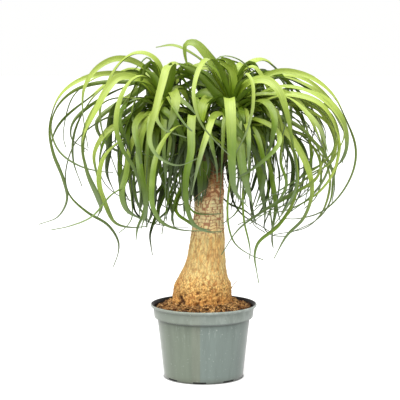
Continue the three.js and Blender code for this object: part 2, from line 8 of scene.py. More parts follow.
import bpy
from bpy.props import FloatProperty, FloatVectorProperty, IntProperty, PointerProperty
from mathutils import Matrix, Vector


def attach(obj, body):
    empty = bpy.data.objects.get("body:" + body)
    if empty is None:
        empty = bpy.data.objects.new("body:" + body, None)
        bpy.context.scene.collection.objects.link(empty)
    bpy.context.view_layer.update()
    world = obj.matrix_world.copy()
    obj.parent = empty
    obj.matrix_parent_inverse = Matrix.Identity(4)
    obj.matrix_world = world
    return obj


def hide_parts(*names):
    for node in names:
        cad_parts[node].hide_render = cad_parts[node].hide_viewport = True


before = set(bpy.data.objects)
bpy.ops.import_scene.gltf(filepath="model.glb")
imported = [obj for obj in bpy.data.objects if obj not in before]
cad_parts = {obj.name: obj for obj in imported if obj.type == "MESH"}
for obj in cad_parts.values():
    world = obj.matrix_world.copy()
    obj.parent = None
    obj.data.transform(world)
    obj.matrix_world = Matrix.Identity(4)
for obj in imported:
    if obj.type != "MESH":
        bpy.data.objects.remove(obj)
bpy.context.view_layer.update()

bl_info = {
    "name": "Potted ponytail palm",
    "version": (1, 0, 0),
    "blender": (4, 5, 0),
    "location": "3D View > Sidebar > Palm",
    "description": "Builds a ponytail palm in a nursery pot and a pale studio round it",
    "category": "Object",
}

MM = 0.001
BODY = "root"

# Where the eye stands from which the leaf routes were read, in front of the pot's axis
EYE_DISTANCE = 2200
EYE_HEIGHT = 514
CAMERA_SIDE = -5.81
CAMERA_TILT = math.radians(84.03)
CAMERA_LENS = 125.37
CAMERA_SENSOR = 36
CAMERA_SIGHT = 200

# Studio
GROUND_HALF = 30000
LAMP_SPREAD = math.radians(70)
LAMP_TURN = (math.radians(20), math.radians(-10), 0)

# Pot
RIM_RADIUS = 85
POT_HEIGHT = 118
BAND_HEIGHT = 21.4
BAND_FOOT = POT_HEIGHT - BAND_HEIGHT
BAND_RADIUS = 79
BAND_TOP = (RIM_RADIUS - 4.4, POT_HEIGHT - 5)
BODY_TOP_RADIUS = 73.8
BODY_TOP = BAND_FOOT - 1.2
BODY_STEPS = 8
FOOT_RADIUS = 63.6
FOOT_ROUND = 4
WALL = 1.8
FLOOR = 3
FLOOR_CORNER = 2
MIDDLE_RADIUS = 1
POT_SIDES = 144
# Points of the pot's profile: [out, up] from the body's top edge, the band's foot and the rim
BODY_EDGE = [[0.6, -0.4], [1.6, 0]]
BAND_EDGE = [[-0.8, 0.1], [-0.1, 0.7], [0.05, 1.6]]
LIP = [[-3.6, -4.4], [-2.0, -4.2], [-0.7, -3.6], [0, -2.5], [0, -1.4], [-0.4, -0.5], [-1.2, 0],
       [-2.2, -0.1], [-3.2, -0.8], [-4.4, -1.9], [-5.6, -3.4], [-6.2, -5]]
# [radius, height] down the inside, from the lip to the floor
INNER_WALL = [[BAND_RADIUS - WALL + 0.8, 104], [BAND_RADIUS - WALL, BAND_FOOT],
              [BODY_TOP_RADIUS - WALL, BAND_FOOT - 2], [68.4, 50],
              [FOOT_RADIUS - WALL, FLOOR + FLOOR_CORNER],
              [FOOT_RADIUS - WALL - FLOOR_CORNER, FLOOR]]
SLOT_COUNT = 8
SLOT_SIZE = (7, 21, 7)
SLOT_TOP = 3.6
SLOT_SHADE_DEPTH = 0.35
FRONT_SLOT_ANGLE = math.radians(-96)
# Where the plastic's colour changes, as the x at which that starts and ends, in metres
SEAM = (-0.0066, -0.0048)
STRIPE_EDGE = (-0.021, -0.0165)

# Soil
SOIL_SIDES = 96
SOIL_STEPS = 12
SOIL_GAP = 0.3
SOIL_FOOT_RADIUS = 61.4
SOIL_EDGE = 110
SOIL_EDGE_RADIUS = 77.6
SOIL_CROWN = 116.5
SOIL_CROWN_RADIUS = 40
# In metres: the height at which the soil's top begins, the reach of the chips, how they heap up
# towards the trunk, how far one is lifted, and their least and greatest sizes and tilts
SOIL_TOP = (0.106, 0.109)
CHIP_REACH = 0.0725
CHIP_HEAP = (0.064, 0.050, 0.0, 0.004)
CHIP_LIFT = (-0.0004, 0.0026)
CHIP_SIZES = ((0.0018, 0.0010, 0.0006), (0.0088, 0.0034, 0.0020))
CHIP_TILTS = ((-0.7, -0.6, 0.0), (0.7, 0.6, 6.283))
CHIP_RAGGEDNESS = 0.0045
CHIP_DENSITY = 86000.0
LUMPINESS = 0.0022
CHIP_SEED = 7

# Trunk: [height, radius, centre x]
TRUNK_OUTLINE = [
    [98, 48.5, -3], [112, 48.5, -3], [123, 48, -3], [136, 46.6, -2.5], [149, 44.8, -1.2],
    [162, 39.8, -0.6], [175, 34.6, 1.5], [188, 31.8, 3.6], [201, 29.6, 4.6], [220, 27.8, 6],
    [252, 24.6, 7.6], [270, 23.4, 8], [282, 22.6, 8.4], [289, 18.6, 13.4], [297, 15.6, 17],
    [318, 12.6, 18.6], [332, 11, 19.2], [341, 10.4, 18.6], [346, 6, 18],
]
STEM_SIDES = 210
STEM_ROW = 1.0
BRANCH_SIDES = 40
# How deep a pit in the bark is at the darkest painted shade, and how fast that shade falls off round it
DARKEST_HOLLOW = 7
DARK_FALLOFF = 1.2
PLATE_WIDTH = 4.4
# Zones of the bark: the heights between which one comes in, upwards or downwards
FOOT_ZONE = (176, 150)
CORK_ZONE = ((146, 168), (242, 226))
PLATE_ZONE = ((222, 240), (292, 284))
NECK_ZONE = (284, 292)
# Where the painted shade of the branches under the heads comes in
BRANCH_SHADE_ZONE = (318, 342)
RUST_ZONES = ((215, 195), (268, 280))
STREAK_ZONE = (250, 225)
BARK_COLOURS_OVER = (100, 360)
# Hollows in the bark, as seen from the front: [x, z, half width, half height, depth]
HOLLOWS = [
    [-39, 132, 4, 5, 6], [-35, 125, 5, 5, 7], [-31, 137, 3, 4, 4], [-40, 121, 3, 4, 5],
    [-9, 141, 3, 3, 4.5], [-6, 131, 3, 3, 5], [-10, 123, 4, 3, 6], [3, 127, 2.5, 2.5, 4],
    [-14, 117, 5, 3, 6], [-24, 119, 3, 2.5, 4], [-32, 112, 4, 3, 4], [24, 126, 3, 2.5, 4],
    [22, 138, 3, 3, 3], [12, 147, 2.5, 3, 3], [-2, 154, 2, 3, 3], [14, 160, 2.5, 5, 2],
    [-14, 205, 2, 6, 1.8], [20, 262, 3, 2, 1.6],
]
# Branches of the fork: [radius, points]
BRANCHES = [
    [8.5, [[18, 0, 326], [-8, 2, 348], [-42, 2, 364], [-64, 0, 378], [-66, 0, 388], [-66, 0, 396]]],
    [8, [[18, 0, 330], [8, -6, 346], [-3, -12, 352], [-4, -14, 357], [-4, -14, 363]]],
    [9, [[18, 0, 328], [30, 4, 352], [47, 6, 374], [50, 6, 386], [50, 6, 396]]],
]

# Leaf blades
LEAST_WIDTH = 1.5
ROOT_SHARE = 0.8
FULL_WIDTH_AT = 0.15
TAPER_POWERS = (3.4, 2.3)
TAPER_LENGTHS = (210, 290)
FILL_TAPER = 1.6
NEAR_PART_HEIGHT = 465
NEAR_PART_SHARE = 0.4
NEAR_PART_SHADE = 0.27
HEADING_AT = 0.4
HEADING_STEP = 0.0005
TWIST_WAVE = 0.48
TWIST_TURNS = 1.25
WAVE_GROWTH = 4
MOST_TURN = 0.95
MOST_ROLL = math.radians(0.8)
MOST_TWIST = math.radians(150)
SAMPLES_PER_SPAN = 6
RING_POINTS = 8
RING_SPACING = 0.0055
CHANNEL = 0.13
# A leaf's tone, partly a random scatter and partly painted light that makes leaves in front and far out
# lighter: at the core, the reach that darkens it by 1, the spread of its scatter, how far out its end
# starts to lighten it, over how far and by how much, and the width under which it is darker
CORE_TONE = 0.36
REACH_PER_TONE = 280
TONE_SCATTER = 0.62
FAR_END = (120, 90, 0.28)
THIN_BLADE = (7, 0.15)
DARKEST_TONE = -0.4
GOLDEN = 0.6180339887
PLASTIC = 0.7548776662
SILVER = 0.4142135624

# Courses of leaves that a rule places: [share of the reach, of the rise, of the drop]
ARCH = [[0, 0, 0], [0.12, 0.7, 0], [0.4, 1, 0], [0.75, 0.2, 0.05], [0.96, 0, 0.38],
        [1, 0, 0.7], [0.93, 0, 1]]
HOOK = [[0, 0, 0], [0.14, 0.7, 0], [0.42, 1, 0], [0.78, 0.3, 0.06], [1, 0, 0.42],
        [0.94, 0, 0.82], [0.66, 0, 1], [0.34, 0, 0.9]]
# How such leaves vary: the least factor and what scatter adds to it at most
REACH_FACTOR = (0.62, 0.55)
RISE_FACTOR = (0.6, 0.6)
DROP_FACTOR = (0.65, 0.5)
WIDTH_FACTOR = (0.75, 0.5)
TONE_SPREAD = 0.2
ROOT_SPREAD = 16
# How far such a leaf sways as it goes out and leans as it comes down, in radians
SOLID_DRIFT = (1.3, 0.5)
FILL_DRIFT = (2.5, 1.5)

# Where the neck shows between the leaves, as seen from the front: [least x, most x, least z, most z]
NECK_WINDOW = [-6, 40, 222, 316]
NECK_STEPS = 40

# Cores of the heads, by side
Core = namedtuple("Core", "x y bottom top radius")
CORES = {
    "left": Core(-66, 0, 395.1, 452, 12),
    "right": Core(50, 6, 395.1, 452, 13.5),
    "middle": Core(-4, -14, 362.1, 402, 10),
}
CORE_SIDES = 40
CORE_RIBS = 8
CORE_RIB_DEPTH = 0.09
CORE_TWIST = 5
# [share of the radius, share of the height]
CORE_PROFILE = [[0.55, 0.0], [0.8, 0.06], [1.0, 0.2], [1.02, 0.4], [0.98, 0.6], [0.82, 0.76],
                [0.6, 0.9], [0.3, 0.98]]

# Leaves whose course is read from the photograph, by side. The seen course is x, z pairs as seen from the
# front, and the reach is how far the leaf comes forward (negative) or goes back. A turn of 1 lays the
# upper face towards the front, 0 leaves it up and outwards, and -1 shows the underside. The taper is
# the power by which the leaf narrows, where its length doesn't say it.
Leaf = namedtuple("Leaf", "width reach root_turn tip_turn seen taper", defaults=(None,))
LEAVES = {"left": [
    [12, -25, 0.7, -0.5, [-66, 445, -67, 485, -75, 504, -92, 515, -112, 514, -134, 497, -152, 465,
     -163, 428, -160, 392, -146, 350, -130, 306]],
    [10, -15, 0.6, 0.5, [-70, 440, -85, 484, -112, 504, -140, 507, -168, 492, -187, 463, -191, 428,
     -188, 397, -183, 366]],
    [8, 20, 2.3, -2.3, [-70, 440, -90, 476, -130, 484, -170, 482, -208, 466, -232, 440, -243, 400,
     -238, 360, -222, 316, -217, 284, -232, 257, -262, 245], 3.4],
    [7, -10, -1.0, -0.4, [-72, 440, -95, 465, -135, 471, -172, 468, -205, 456, -231, 431, -241, 398,
     -228, 361, -196, 338, -160, 329, -143, 328]],
    [5, 45, 0.4, 0.4, [-70, 440, -92, 474, -130, 485, -170, 477, -205, 449, -220, 405, -222, 382,
     -218, 367]],
    [12, -98, 0.5, -0.6, [-70, 435, -77, 463, -88, 476, -102, 479, -118, 468, -133, 438, -138, 400,
     -128, 365, -109, 332, -101, 300, -103, 268, -101, 250]],
    [12, -63, 0.8, -0.8, [-72, 436, -90, 467, -112, 478, -134, 478, -153, 457, -172, 421, -188, 387,
     -191, 365, -183, 326, -167, 287, -163, 271, -169, 257], 7],
    [9, -5, 0.3, 0.5, [-75, 430, -98, 441, -130, 446, -155, 440, -176, 416, -189, 380, -189, 360]],
    [8, 30, 0.2, -0.95, [-75, 412, -105, 412, -140, 417, -170, 405, -203, 375, -219, 325, -213, 293,
     -185, 265, -152, 244, -136, 218, -136, 200, -144, 177], 2.6],
    [6, -84, 0.3, 0.3, [-70, 415, -90, 403, -105, 360, -125, 308, -148, 291, -178, 257, -214, 242,
     -243, 236]],
    [10, -56, 0.3, 0.5, [-72, 408, -95, 392, -130, 378, -157, 352, -166, 316, -157, 279, -141, 248,
     -114, 240, -88, 242]],
    [14, 35, -0.4, -0.4, [-74, 422, -100, 440, -124, 446, -141, 428, -148, 400, -150, 360, -153, 327,
     -142, 296]],
    [8, 50, -0.4, -0.3, [-75, 405, -98, 414, -118, 411, -132, 394, -118, 379]],
    [12, -20, 0.3, 0.4, [-72, 424, -83, 440, -98, 433, -111, 410, -116, 385, -118, 362]],
    [14, -70, 0.2, 0.4, [-70, 415, -83, 421, -100, 399, -116, 363, -122, 325, -130, 293, -122, 267,
     -100, 253]],
    [14, 10, 0.5, 0.5, [-70, 405, -88, 400, -101, 372, -103, 335, -97, 300, -98, 280, -103, 262]],
    [16, -133, 0.2, 0.3, [-62, 440, -53, 474, -50, 496, -58, 492, -66, 466, -76, 428, -86, 385, -82, 366,
     -66, 348, -40, 339, -10, 350], 1.35],
    [12, -105, 0.2, 0.2, [-68, 410, -87, 408, -101, 370, -101, 335, -93, 292, -93, 262, -100, 238]],
    [10, -56, 0.2, 0.3, [-68, 405, -82, 394, -89, 350, -88, 300, -95, 262, -105, 240, -108, 219]],
    [6, -84, 0.5, 0.5, [-62, 445, -70, 432, -74, 412, -62, 396, -27, 383]],
    [10, -42, 0.2, 0.5, [-62, 440, -50, 455, -36, 442, -22, 431, -13, 420]],
    [5, -84, 0.3, 0.3, [-61, 440, -57, 447, -47, 428, -28, 402, -13, 389]],
    [9, 60, 0.6, 0.6, [-61, 435, -50, 468, -36, 491, -22, 499, -8, 485]],
    [16, -70, 0.2, 0.3, [-61, 435, -49, 456, -44, 440, -50, 414, -58, 390]],
], "right": [
    [18, -119, 0, 0, [42, 418, 41, 436, 40, 445, 42, 425, 44, 380, 45, 330, 50, 297, 70, 273]],
    [15, -84, 0.7, -0.6, [48, 435, 58, 458, 75, 471, 97, 474, 116, 460, 128, 430, 137, 388, 145, 345,
     145, 300, 130, 270, 107, 237]],
    [7, -84, 0.3, 0.3, [46, 440, 55, 470, 66, 484, 76, 470, 77, 430, 67, 391, 50, 357]],
    [5, -10, 0.3, 0.3, [42, 440, 22, 480, 15, 500, 30, 511, 57, 505, 76, 483, 79, 447]],
    [15, 15, 0.7, 0.8, [42, 440, 24, 487, 5, 513, -14, 531, -27, 530, -29, 515, -24, 490]],
    [18, 20, -0.7, -0.5, [41, 430, 29, 456, 12, 473, -4, 483, -24, 494, -40, 500]],
    [17, -10, -0.7, -0.5, [41, 425, 10, 460, -15, 485, -38, 498]],
    [9, 35, 0.5, 0.5, [42, 440, 12, 490, -20, 516, -48, 528, -75, 525]],
    [11, -147, 0.1, 0.1, [42, 440, 28, 485, 14, 505, 0, 503, -11, 482, -16, 448, -5, 407, 20, 375,
     40, 355], 1.6],
    [16, 20, 0.6, 0.6, [42, 440, 28, 472, 5, 496]],
    [15, 10, 0.6, 0.6, [43, 440, 33, 478, 10, 503]],
    [14, -15, 0.6, 0.6, [44, 440, 47, 470, 42, 492, 20, 507]],
    [14, 5, 0.6, 0.6, [46, 440, 50, 475, 45, 499, 25, 511]],
    [12, 60, 0.5, 0.5, [48, 440, 51, 470, 60, 486, 72, 480]],
    [9, -10, 1.9, -1.5, [58, 435, 78, 468, 104, 484, 133, 488, 172, 476, 205, 448, 226, 408, 240, 366,
     236, 329, 214, 289, 185, 264, 148, 254, 130, 254]],
    [8, 30, 0.4, 0.6, [58, 432, 85, 468, 125, 481, 163, 473, 195, 447, 215, 420, 222, 392]],
    [9, 40, -0.8, -0.2, [58, 430, 90, 465, 125, 478, 160, 465, 202, 432, 222, 400]],
    [13, -20, 0.4, 0.6, [58, 425, 90, 450, 140, 460, 185, 449, 213, 422, 226, 384, 221, 350, 204, 333]],
    [11, -49, 0.5, -0.7, [58, 420, 95, 445, 140, 451, 185, 435, 208, 394, 202, 352, 189, 315, 168, 288,
     135, 263]],
    [12, -70, 0.3, 0.5, [58, 415, 95, 440, 130, 446, 160, 424, 184, 396, 197, 359]],
    [12, -25, 0.3, 0.5, [58, 418, 100, 445, 150, 446, 185, 426, 206, 385, 206, 355, 200, 335]],
    [9, 10, 0.3, 0.4, [60, 402, 90, 395, 145, 391, 178, 375, 200, 340, 208, 310, 204, 280]],
    [7, 25, 0.3, 0.3, [60, 400, 100, 388, 150, 382, 185, 357, 200, 318, 190, 268, 164, 240, 112, 228]],
    [10, -77, 0.6, 0.9, [60, 415, 92, 429, 112, 412, 143, 377, 166, 330, 171, 295, 158, 255, 132, 227,
     112, 190], 4],
    [9, -98, 0.3, 0.9, [56, 420, 100, 425, 133, 385, 147, 330, 143, 285, 118, 243, 87, 216, 81, 195,
     84, 172, 88, 150], 1.9],
    [8, -87, -1.3, 1.6, [60, 410, 110, 415, 150, 400, 182, 362, 180, 322, 141, 294, 91, 264, 55, 237,
     28, 196], 3],
    [6, -56, 0.3, 0.3, [60, 405, 120, 395, 165, 340, 170, 303, 134, 278, 105, 267, 72, 245]],
    [9, -56, 0.2, 0.3, [60, 402, 90, 385, 103, 340, 111, 300, 114, 270, 109, 236, 111, 207]],
    [8, -105, 0.3, 0.3, [58, 415, 88, 410, 116, 394, 119, 374, 98, 350, 69, 328, 39, 314]],
    [15, -112, 0.1, 0.1, [52, 405, 55, 398, 57, 370, 62, 333, 70, 300, 78, 275]],
    [12, -84, 0.2, 0.3, [58, 425, 80, 440, 100, 437, 111, 415, 108, 385, 98, 350, 88, 338]],
    [8, -70, 0.3, 0.4, [58, 420, 90, 437, 112, 428, 124, 390, 121, 345, 131, 310, 120, 285, 110, 277]],
    [9, -98, 0.2, 0.2, [56, 405, 68, 402, 71, 375, 70, 335]],
    [10, -77, 0.2, 0.2, [58, 405, 80, 393, 93, 350, 94, 310, 82, 272]],
    [5, 42, 0.2, 0.2, [54, 412, 60, 402, 46, 340, 45, 290, 60, 262, 88, 244, 104, 234]],
    [8, 50, 0.3, 0.3, [50, 412, 50, 402, 33, 340, 27, 296, 40, 279, 66, 267, 84, 250]],
], "middle": [
    [13, -134, 0.1, 0.3, [-8, 388, -15, 399, -40, 400, -58, 385, -75, 352, -82, 310, -81, 273, -66, 248,
     -35, 236, 5, 234], 2],
    [14, -120, 0.1, 0.2, [-8, 385, -12, 408, -18, 418, -20, 395, -20, 362, -28, 320, -27, 276, -16, 245,
     8, 233, 28, 234], 2],
    [10, -113, 0.1, 0.1, [0, 388, 10, 408, 13, 411, 5, 388, -4, 360, -11, 332, -20, 292]],
    [13, 34, 0.4, 0.3, [-10, 378, -36, 356, -54, 315, -57, 290, -50, 262, -47, 240]],
    [8, -42, 0.3, 0.3, [-9, 375, -28, 345, -33, 310, -45, 282, -50, 252, -47, 241]],
    [7, -20, 0.3, 0.3, [-9, 372, -30, 330, -50, 290, -56, 268, -70, 255, -82, 241]],
    [6, 44, 0.3, 0.3, [-9, 372, -50, 324, -76, 288, -60, 272, -45, 268]],
    [7, -59, 0.3, 0.3, [-8, 374, -30, 310, -43, 266, -25, 250, -10, 240, 10, 236]],
    [6, 0, 0.3, 0.3, [-9, 376, -40, 334, -62, 290, -78, 252, -85, 228, -84, 210, -82, 195]],
]}
# Narrow ones and fillers, which stand only here
NARROW = {"left": [
    [3, 30, 0.3, 0.3, [-74, 400, -110, 392, -145, 375, -165, 342, -161, 317, -142, 295, -100, 277]],
    [3, 25, 0.3, 0.3, [-66, 440, -72, 480, -88, 509, -102, 497, -113, 486]],
    [3, -60, 0.3, 0.3, [-68, 405, -100, 392, -117, 350, -116, 300, -114, 257, -121, 244, -135, 231]],
    [3, -40, 0.3, 0.3, [-68, 405, -80, 380, -78, 345, -73, 333, -68, 320, -60, 300]],
    [9, -40, 0.3, 0.8, [-72, 408, -110, 412, -150, 395, -172, 360, -170, 330, -156, 284, -143, 252]],
    [15, -20, 0.6, 0.7, [-70, 404, -84, 388, -92, 351, -94, 310, -92, 275, -91, 240]],
    [14, -60, 0.5, 0.6, [-70, 408, -78, 384, -79, 337, -80, 300, -80, 262]],
    [14, -30, 0.5, 0.8, [-70, 410, -92, 408, -104, 390, -115, 352, -131, 311, -132, 286]],
    [9, -20, 0.4, 0.8, [-72, 408, -110, 400, -130, 360, -132, 320, -127, 289, -120, 269, -99, 253]],
    [8, 10, 0.3, 0.9, [-72, 410, -120, 412, -152, 386, -164, 352, -164, 321, -162, 280]],
    [14, -30, 0.4, 0.4, [-70, 436, -80, 456, -92, 468, -106, 472]],
    [14, -20, -0.5, -0.4, [-68, 436, -72, 462, -80, 480, -92, 490]],
    [13, -40, 0.4, 0.4, [-72, 430, -88, 440, -104, 444, -118, 440]],
    [13, 70, 0.6, 0.7, [-68, 402, -76, 370, -80, 330, -78, 292, -82, 262, -92, 240]],
    [12, 80, 0.5, 0.6, [-66, 402, -64, 366, -62, 330, -66, 296, -72, 268, -70, 244]],
    [12, 60, 0.6, 0.6, [-72, 404, -98, 388, -112, 350, -116, 316, -112, 286, -108, 262]],
    [12, 60, 0.5, 0.6, [-62, 402, -54, 372, -48, 336, -46, 304, -52, 276, -60, 254]],
    [10, 40, 0.6, 0.6, [-70, 404, -106, 396, -128, 366, -132, 332, -126, 300, -118, 282]],
    [5, 50, 0.3, 0.3, [-66, 404, -92, 350, -112, 290, -106, 262, -84, 248, -52, 241, -24, 240]],
    [8, -30, 0.4, 0.7, [-70, 404, -92, 386, -106, 350, -110, 312, -104, 276, -84, 246]],
    [6, -50, 0.4, 0.5, [-66, 404, -72, 366, -66, 322, -54, 282, -34, 254, -12, 244]],
    [4, 30, 0.3, 0.3, [-64, 402, -70, 340, -88, 280, -72, 250, -40, 236, -10, 233]],
    [14, 12, 0.2, 0.2, [-62, 438, -50, 470, -38, 478, -24, 462, -14, 430, -10, 400]],
    [13, 20, 0.5, 0.5, [-62, 436, -50, 454, -38, 460, -28, 446, -22, 424, -20, 400]],
    [13, 28, 0.2, 0.2, [-60, 434, -44, 460, -30, 458, -20, 438, -16, 410]],
], "right": [
    [15, 30, 0.2, 0.2, [42, 434, 20, 466, -4, 484, -28, 480, -46, 460, -56, 432]],
    [14, 46, 0.2, 0.2, [42, 428, 14, 460, -12, 468, -34, 454, -46, 428]],
    [13, 14, 0.2, 0.2, [40, 422, 12, 446, -10, 446, -26, 428, -34, 402]],
    [10, 15, 0.4, 0.5, [58, 428, 85, 462, 112, 478, 130, 477, 154, 469, 178, 456, 201, 432, 222, 400,
     226, 374, 220, 342]],
    [10, -35, 0.4, 0.5, [58, 422, 90, 450, 118, 456, 141, 446, 164, 419, 180, 387, 193, 358, 197, 337,
     185, 305]],
    [9, -20, 0.4, 0.4, [58, 408, 90, 412, 120, 402, 146, 390, 165, 382, 186, 363, 201, 337, 207, 316,
     204, 300]],
    [4, 30, 0.3, 0.3, [56, 418, 90, 432, 115, 427, 141, 424, 167, 400, 175, 369, 170, 337]],
    [7, -60, 0.3, 0.5, [58, 430, 110, 462, 160, 458, 200, 430, 222, 390, 212, 361, 201, 342, 170, 326,
     141, 297, 107, 276, 78, 257, 54, 244]],
    [5, -70, 0.3, 0.5, [58, 424, 120, 452, 180, 430, 214, 380, 206, 330, 186, 300, 160, 281, 133, 268,
     94, 260, 70, 252]],
    [8, 20, 0.4, 0.4, [58, 416, 110, 440, 164, 435, 196, 432, 214, 406, 225, 382, 222, 358, 212, 337]],
    [8, -30, 0.3, 0.7, [60, 420, 110, 430, 150, 408, 168, 374, 170, 353, 165, 337, 141, 305, 106, 268]],
    [6, -40, 0.5, 0.9, [58, 424, 130, 445, 190, 420, 208, 380, 205, 352, 185, 332, 133, 300, 81, 273]],
    [6, -50, 0.5, 0.9, [58, 420, 140, 435, 200, 400, 206, 368, 190, 345, 150, 318, 110, 292, 74, 262]],
    [6, -20, 0.4, 0.8, [60, 424, 140, 450, 200, 420, 214, 370, 206, 321, 200, 280, 181, 253, 133, 229]],
    [13, -30, 0.6, 0.8, [60, 404, 84, 392, 98, 362, 105, 332, 110, 300, 114, 272]],
    [12, -40, 0.6, 0.8, [58, 404, 74, 384, 84, 350, 90, 320, 94, 288, 97, 254]],
    [14, -30, 0.4, 0.4, [48, 436, 53, 456, 60, 470, 70, 478]],
    [15, -40, 0.4, 0.4, [52, 434, 62, 450, 78, 460, 96, 462]],
    [14, -20, 0.5, 0.5, [42, 434, 37, 450, 32, 466, 24, 482, 14, 493, 2, 500]],
    [16, -8, 0.5, 0.5, [46, 434, 46, 452, 44, 469, 38, 487, 29, 497, 18, 502]],
    [13, 20, 0.5, 0.5, [62, 420, 66, 446, 80, 462, 92, 470]],
    [13, 26, 0.5, 0.5, [46, 436, 20, 452, -2, 454, -20, 438, -30, 408]],
    [14, 50, 0.6, 0.7, [54, 404, 60, 376, 66, 340, 72, 304, 76, 270, 84, 244]],
    [13, 75, 0.6, 0.7, [58, 404, 78, 380, 88, 340, 92, 300, 98, 268, 96, 240]],
    [12, 40, 0.5, 0.6, [60, 404, 100, 384, 116, 346, 120, 310, 116, 276, 122, 250]],
    [11, 60, 0.5, 0.6, [60, 402, 112, 386, 138, 350, 140, 312, 132, 280, 124, 262]],
    [10, 70, 0.5, 0.6, [60, 404, 124, 396, 158, 360, 160, 322, 150, 288, 136, 262, 112, 240]],
    [12, 60, 0.6, 0.6, [50, 402, 46, 376, 46, 340, 50, 306, 56, 280]],
    [9, 30, 0.5, 0.6, [58, 418, 130, 440, 178, 410, 190, 366, 180, 322, 156, 292, 128, 270]],
    [6, 10, 0.3, 0.6, [60, 412, 100, 410, 136, 396, 160, 366, 166, 330, 160, 296]],
    [6, -10, 0.3, 0.6, [60, 408, 96, 402, 126, 384, 146, 352, 148, 316, 138, 288, 118, 268]],
    [5, 0, 0.3, 0.6, [60, 406, 90, 398, 116, 378, 130, 344, 132, 308, 126, 276]],
    [5, -20, 0.3, 0.6, [60, 410, 108, 408, 150, 390, 180, 356, 186, 318, 178, 288, 160, 270]],
    [8, 20, 0.5, 0.8, [60, 408, 104, 404, 140, 382, 158, 346, 154, 306, 136, 276]],
    [7, -30, 0.5, 0.8, [60, 404, 88, 388, 102, 350, 104, 310, 96, 276, 76, 248]],
    [5, -60, 0.4, 0.5, [56, 404, 70, 372, 72, 330, 64, 290, 50, 262, 30, 246]],
    [4, 20, 0.3, 0.3, [42, 440, 28, 485, 20, 504, 40, 505, 70, 494, 95, 477]],
    [3, 50, 0.3, 0.3, [60, 412, 95, 427, 140, 424, 168, 402]],
    [3, 60, 0.3, 0.3, [60, 408, 95, 418, 145, 413, 176, 389, 190, 364]],
    [4, -84, 0.2, 0.2, [54, 410, 66, 402, 68, 360, 62, 290, 64, 251, 72, 216, 74, 200, 72, 188]],
    [4, -87, 0.2, 0.2, [50, 412, 52, 402, 46, 345, 38, 280, 40, 240, 50, 214, 74, 196, 95, 188]],
    [3, 40, 0.3, 0.3, [60, 402, 100, 388, 150, 360, 170, 345, 150, 332, 125, 323, 115, 318]],
    [3, 30, 0.3, 0.3, [60, 405, 120, 400, 170, 380, 195, 355, 191, 344, 181, 338, 170, 333]],
    [3, 30, 0.3, 0.3, [46, 440, 50, 447, 58, 436, 68, 435, 77, 441]],
    [3, -50, 0.2, 0.2, [56, 402, 84, 380, 98, 330, 104, 280, 109, 234, 108, 220, 111, 207]],
    [3, -30, 0.2, 0.2, [56, 402, 80, 380, 90, 320, 76, 262, 80, 245, 98, 232]],
    [3, -40, 0.2, 0.2, [58, 404, 96, 380, 112, 330, 106, 270, 96, 240, 108, 228, 130, 226]],
], "middle": [
    [14, 75, 0.7, 0.8, [-8, 376, -14, 350, -14, 320, -12, 292, -8, 262, -4, 225]],
    [13, 90, 0.7, 0.8, [-10, 374, -24, 352, -30, 318, -28, 286, -32, 252]],
    [12, 70, 0.6, 0.7, [-6, 374, -2, 352, -5, 326, -2, 300, 0, 250]],
    [12, 85, 0.6, 0.7, [-2, 374, 8, 362, 14, 344, 22, 328, 34, 316]],
    [12, 60, 0.6, 0.7, [0, 374, 22, 366, 34, 344, 40, 318, 46, 292, 44, 268]],
    [11, -10, 0.8, 0.8, [-8, 374, -8, 350, -6, 325, -6, 300, -9, 274]],
    [10, -6, 0.8, 0.8, [-4, 370, 0, 350, 1, 325, 0, 304, -4, 280]],
    [8, 2, 0.8, 0.8, [0, 368, 6, 350, 7, 330, 5, 310, 2, 290]],
    [10, -4, 0.8, 0.8, [-10, 374, -18, 350, -20, 322, -20, 296, -22, 270]],
    [4, -46, 0.4, 0.4, [-8, 374, -22, 330, -30, 290, -16, 265, 6, 261, 28, 262]],
    [4, -50, 0.3, 0.3, [-10, 384, -25, 366, -60, 352, -90, 355, -100, 360]],
    [3, -50, 0.3, 0.3, [-8, 374, -30, 340, -52, 300, -60, 265, -65, 241, -67, 229]],
    [3, -45, 0.3, 0.3, [-8, 376, -30, 346, -50, 300, -52, 276, -51, 269, -50, 256, -48, 243]],
]}

# Rows of leaves that a rule places round a core, by side, from start to stop in degrees. Those whose
# first index is 0 are the solids' own. The others stand only here: finer ones that fill the crown from
# behind and within.
# Their tone is painted light and shade: the fillers within the crown are the darkest
Rule = namedtuple("Rule", "count first start stop height rise reach drop width tone")
RULES = {"left": [
    (9, 0, 35, 175, 438, 42, 160, 150, 14, 0.7),
    (11, 0, 0, 360, 404, 14, 74, 125, 13, 0.7),
    (7, 20, 40, 130, 430, 44, 125, 90, 14, 0.5),
    (10, 40, -30, 230, 414, 22, 78, 76, 12, 0.1),
    (11, 60, 0, 360, 402, 24, 48, 84, 12, -0.12),
    (7, 80, 20, 230, 438, 46, 66, 60, 12, 0.6),
    (10, 100, 150, 400, 406, 16, 62, 150, 14, 0.2),
], "right": [
    (12, 0, 5, 150, 440, 46, 175, 160, 14, 0.7),
    (11, 0, 0, 360, 404, 14, 78, 125, 13, 0.7),
    (5, 20, 60, 150, 430, 46, 130, 90, 14, 0.5),
    (10, 40, -50, 210, 414, 22, 84, 78, 12, 0.1),
    (11, 60, 0, 360, 402, 24, 52, 84, 12, -0.12),
    (7, 80, -40, 170, 438, 48, 70, 60, 12, 0.6),
    (7, 100, -140, 60, 406, 16, 74, 150, 14, 0.2),
    (5, 120, -40, 30, 424, 30, 128, 70, 12, 0.4),
], "middle": [
    (5, 0, 40, 140, 392, 36, 130, 120, 14, 0.7),
    (8, 0, 0, 360, 374, 10, 62, 105, 13, 0.7),
    (8, 20, 30, 160, 392, 40, 110, 80, 12, 0.15),
    (14, 40, 10, 370, 378, 20, 62, 72, 12, -0.15),
    (12, 60, 0, 360, 370, 20, 40, 56, 11, -0.3),
    (7, 80, 130, 250, 384, 16, 56, 115, 13, 0.0),
]}

